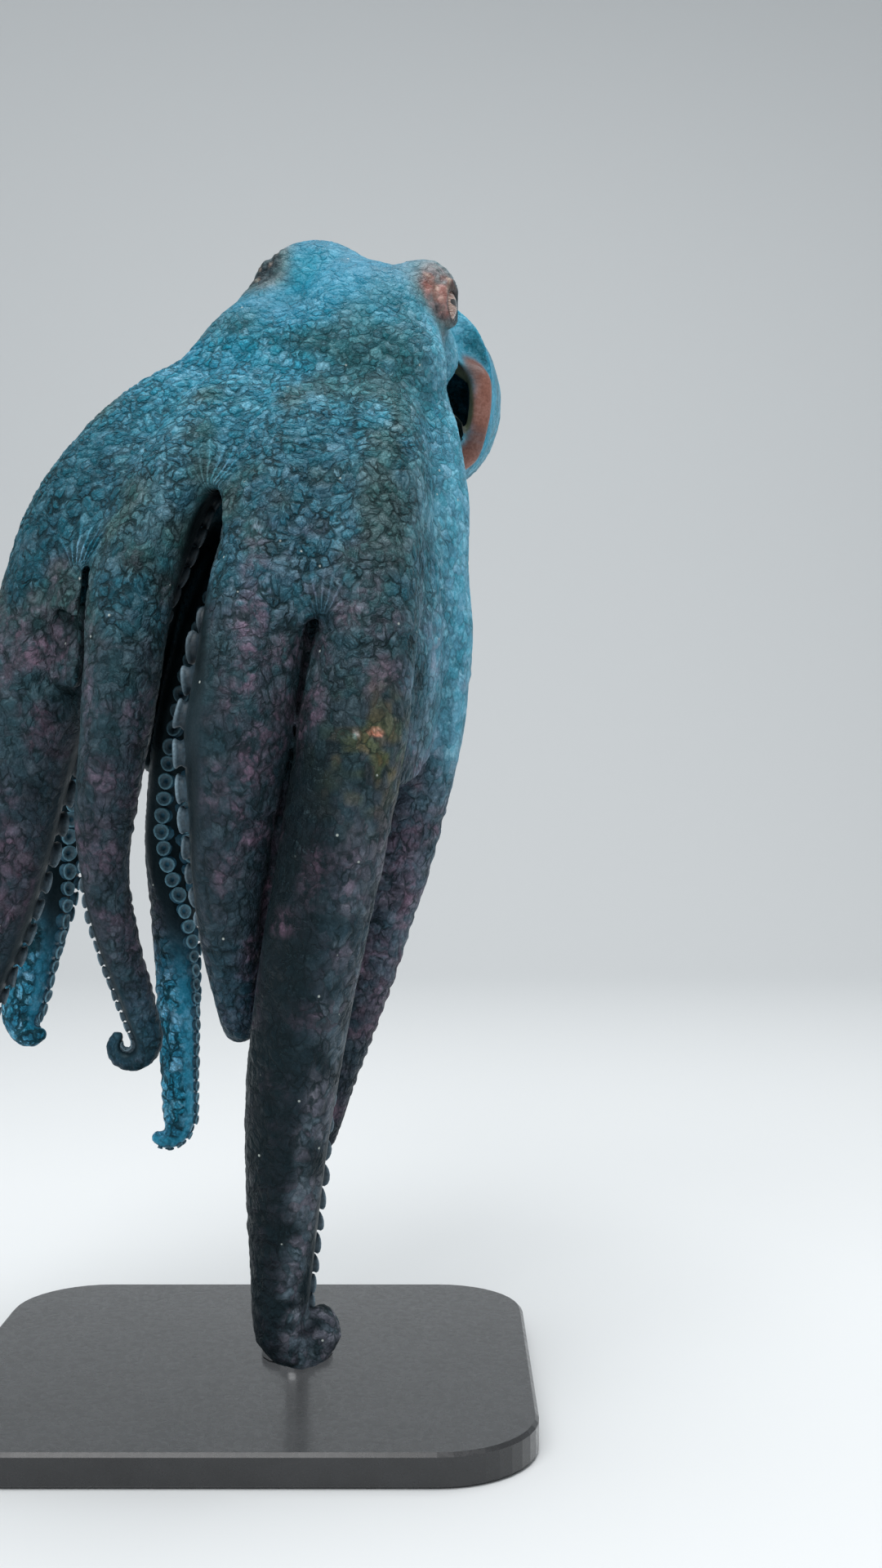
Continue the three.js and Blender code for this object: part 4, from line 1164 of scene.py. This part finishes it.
def make_suckers(skin_item):
    """All the suckers in one mesh. The last ring of each is nearly a point, which closes the cup."""
    skin = BVHTree.FromObject(skin_item, bpy.context.evaluated_depsgraph_get())
    chance = np.random.default_rng(SEED + 11)
    turn = turns(SUCKER_SIDES)
    out, height, pale = (np.array(column)[:, None, None] for column in zip(*SUCKER_RINGS))
    points, colours = [], []
    for name, arm in ARM_SHAPES.items():
        rim = lerp(SUCKER_RIM, BLUE_SUCKER_RIM, ARM_TINTS[name][1])
        cup = lerp(SUCKER_CUP, BLUE_SUCKER_CUP, ARM_TINTS[name][1])
        shade = lerp(cup, SUCKER_SKIN, np.clip(pale * 3, 0, 1)) + 0 * turn[:, None]
        for foot, outward, width, along, share in sucker_places(arm, skin):
            # Under the web the suckers get painted shade.
            light = lerp(UNDER_WEB_SHADE, 1, ramp(share, 0.7, 1.1))
            half = width / 2 * chance.uniform(0.92, 1.06)
            outward = unit(outward + chance.normal(0, 0.07, 3))
            ahead = across_of(along, outward)
            across = np.cross(outward, ahead)
            wobble = 1 + 0.05 * np.cos(turn * 2 + chance.uniform(0, 6)) + 0.03 * np.cos(turn * 3)
            flat = (ahead * np.cos(turn)[:, None] + across * np.sin(turn)[:, None]) * wobble[:, None]
            points.append((foot + half * (out * flat + height * outward)).reshape(-1, 3))
            tone = lerp(shade, rim, np.clip(pale * 1.4 - 0.4, 0, 1)) * chance.uniform(0.75, 1.15) * light
            colours.append(tone.reshape(-1, 3))
    count = len(points[0])
    faces = (sucker_faces() + np.arange(len(points))[:, None, None] * count).reshape(-1, 4)
    item = mesh_object("suckers", np.concatenate(points), faces)
    store(item.data, "macro", np.concatenate(colours), "FLOAT_COLOR")
    item.data.materials.append(sucker_material())
    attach(item, "root")


# ---- Eyes ----
EYE_SIDES = 96
IRIS_REACH, PUPIL_HALF = 0.74, (0.5, 0.15)
IRIS_PALE, IRIS_PINK, IRIS_DARK = linear(214, 190, 176), linear(146, 100, 86), linear(50, 34, 32)
EYE_WHITE, PUPIL = linear(60, 52, 52), linear(8, 8, 10)


def eye_material():
    material, tree, shader = new_material("eye")
    times, plus, step = tree.times, tree.plus, tree.step
    place = tree.attribute("eye")
    ahead, up, out = tree.split(place)
    far = tree.math("POWER", plus(times(ahead, ahead), times(up, up)), 0.5)
    streaks = tree.stretched(place, (2.0, 20.0, 1.0))
    iris = tree.mix(step(tree.noise(streaks, 1.6), 0.42, 0.58), IRIS_PALE, IRIS_PINK)
    iris = tree.mix(step(tree.noise(streaks, 3.1, 3, 0.7), 0.56, 0.7, 0, 0.85), iris, IRIS_DARK)
    iris = tree.mix(step(far, IRIS_REACH * 0.8, IRIS_REACH), iris, IRIS_DARK)
    colour = tree.mix(step(far, IRIS_REACH, IRIS_REACH + 0.06), iris, EYE_WHITE)
    wide, high = (tree.math("POWER", tree.math("DIVIDE", tree.math("ABSOLUTE", way), half), 3)
                  for way, half in zip((ahead, up), PUPIL_HALF))
    slit = times(step(plus(wide, high), 1.25, 0.85), step(out, 0.0, 0.1))
    tree.feed(shader, {
        "Base Color": tree.mix(slit, colour, PUPIL),
        "Roughness": 0.3,
        "Coat Weight": 1.0,
        "Coat Roughness": 0.03,
    })
    return material


def make_eyes():
    material = eye_material()
    rise = np.linspace(0, np.pi, EYE_SIDES // 2 + 1)[1:-1]
    turn = turns(EYE_SIDES)
    local = np.stack((np.sin(rise)[:, None] * np.cos(turn), np.sin(rise)[:, None] * np.sin(turn),
                      np.cos(rise)[:, None] + 0 * turn), axis=-1)
    for node, middle, radius, axes in eye_places():
        out, ahead, up = axes
        points, triangles = loft(local)
        points = unit(points)
        around = points @ np.array((ahead, up, out))
        item = mesh_object(node + "_ball", middle + radius * around, triangles)
        store(item.data, "eye", points)
        item.data.materials.append(material)
        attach(item, "root")
        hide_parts(node)


# ---- Stand ----
def dress_stand():
    """Black lacquer for the base and brushed steel for the flange and rod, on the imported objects."""
    lacquer, tree, shader = new_material("black lacquer")
    place = tree.place()
    shade = tree.step(tree.noise(place, 45), 0.3, 0.7, 0.8, 1.2)
    tree.feed(shader, {
        "Base Color": tree.scaled((0.017, 0.018, 0.02), shade),
        "Roughness": tree.step(tree.noise(place, 300), 0.3, 0.7, 0.22, 0.34),
        "Normal": tree.bump(tree.noise(place, 1400, 2, 0.5), 0.01 * MM, 0.3),
        "Coat Weight": 0.35,
        "Coat Roughness": 0.12,
    })
    steel, tree, shader = new_material("brushed steel")
    brushed = tree.noise(tree.stretched(tree.place(), (1, 1, 0.03)), 2600)
    tree.feed(shader, {
        "Base Color": (0.56, 0.57, 0.58, 1),
        "Metallic": 1.0,
        "Roughness": tree.step(brushed, 0.3, 0.7, 0.24, 0.4),
        "Normal": tree.bump(brushed, 0.02 * MM, 0.5),
    })
    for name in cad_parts:
        if name.startswith("stand_"):
            for slot in bpy.data.objects[name].material_slots:
                slot.material = lacquer if name == "stand_base" else steel


# ---- Stage ----
CAMERA_AT = (0.085, -0.755, 0.271)  # metres; the camera is level and looks along +Y
CAMERA_ANGLE = 50  # degrees from the bottom of the view to its top
SENSOR = 36
LIGHT_TARGET = (0, 0, 0.3)
LIGHTS = {"key": ((-0.5, -1.3, 1.7), 1.2, 18), "top": ((0.2, 0.1, 2.0), 1.6, 30)}  # place, side, watts
SKY, SKY_STRENGTH, FLOOR_COLOUR = (0.86, 0.9, 0.93, 1), 0.5, (0.74, 0.76, 0.77, 1)
# The floor's front, back and half width, the radius of its bend and the backdrop's top, in metres.
FLOOR_FRONT, FLOOR_BACK, FLOOR_HALF, BEND_RADIUS, BACKDROP_TOP = -3.0, 1.6, 4.0, 0.9, 4.0


def make_camera():
    data = bpy.data.cameras.new("camera")
    data.sensor_fit = "VERTICAL"
    data.sensor_height = SENSOR
    data.lens = SENSOR / 2 / math.tan(math.radians(CAMERA_ANGLE / 2))
    camera = add_object("camera", data)
    camera.location = CAMERA_AT
    camera.rotation_euler = (math.pi / 2, 0, 0)
    bpy.context.scene.camera = camera


def make_lights():
    for name, (location, side, power) in LIGHTS.items():
        data = bpy.data.lights.new(name, "AREA")
        data.size = side
        data.energy = power
        light = add_object(name, data)
        light.location = location
        light.rotation_euler = (Vector(LIGHT_TARGET) - Vector(location)).to_track_quat("-Z", "Y").to_euler()


def make_world():
    world = bpy.data.worlds.new("studio")
    bpy.context.scene.world = world
    world.use_nodes = True
    back = world.node_tree.nodes["Background"]
    back.inputs["Color"].default_value = SKY
    back.inputs["Strength"].default_value = SKY_STRENGTH


def make_floor():
    """A pale floor that curves up into a backdrop."""
    profile = [(FLOOR_FRONT, 0.0), (FLOOR_BACK, 0.0)]
    profile += [(FLOOR_BACK + BEND_RADIUS * math.sin(a), BEND_RADIUS * (1 - math.cos(a)))
                for a in np.linspace(0.1, math.pi / 2, 16)]
    profile += [(FLOOR_BACK + BEND_RADIUS, BACKDROP_TOP)]
    points = [(x / MM, y / MM, z / MM) for y, z in profile for x in (-FLOOR_HALF, FLOOR_HALF)]
    faces = np.array([(2 * i, 2 * i + 1, 2 * i + 3, 2 * i + 2) for i in range(len(profile) - 1)])
    floor = mesh_object("floor", points, faces)
    material, tree, shader = new_material("floor")
    tree.feed(shader, {"Base Color": FLOOR_COLOUR, "Roughness": 0.9})
    floor.data.materials.append(material)
    floor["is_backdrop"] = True


skin = make_skin()
make_suckers(skin)
make_eyes()
dress_stand()
make_camera()
make_world()
make_floor()
make_lights()
bpy.context.scene.view_settings.view_transform = "Standard"
boxes = {"cad": cad_box, "visual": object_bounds()}
{key: [list(corner) for corner in box] for key, box in boxes.items()}
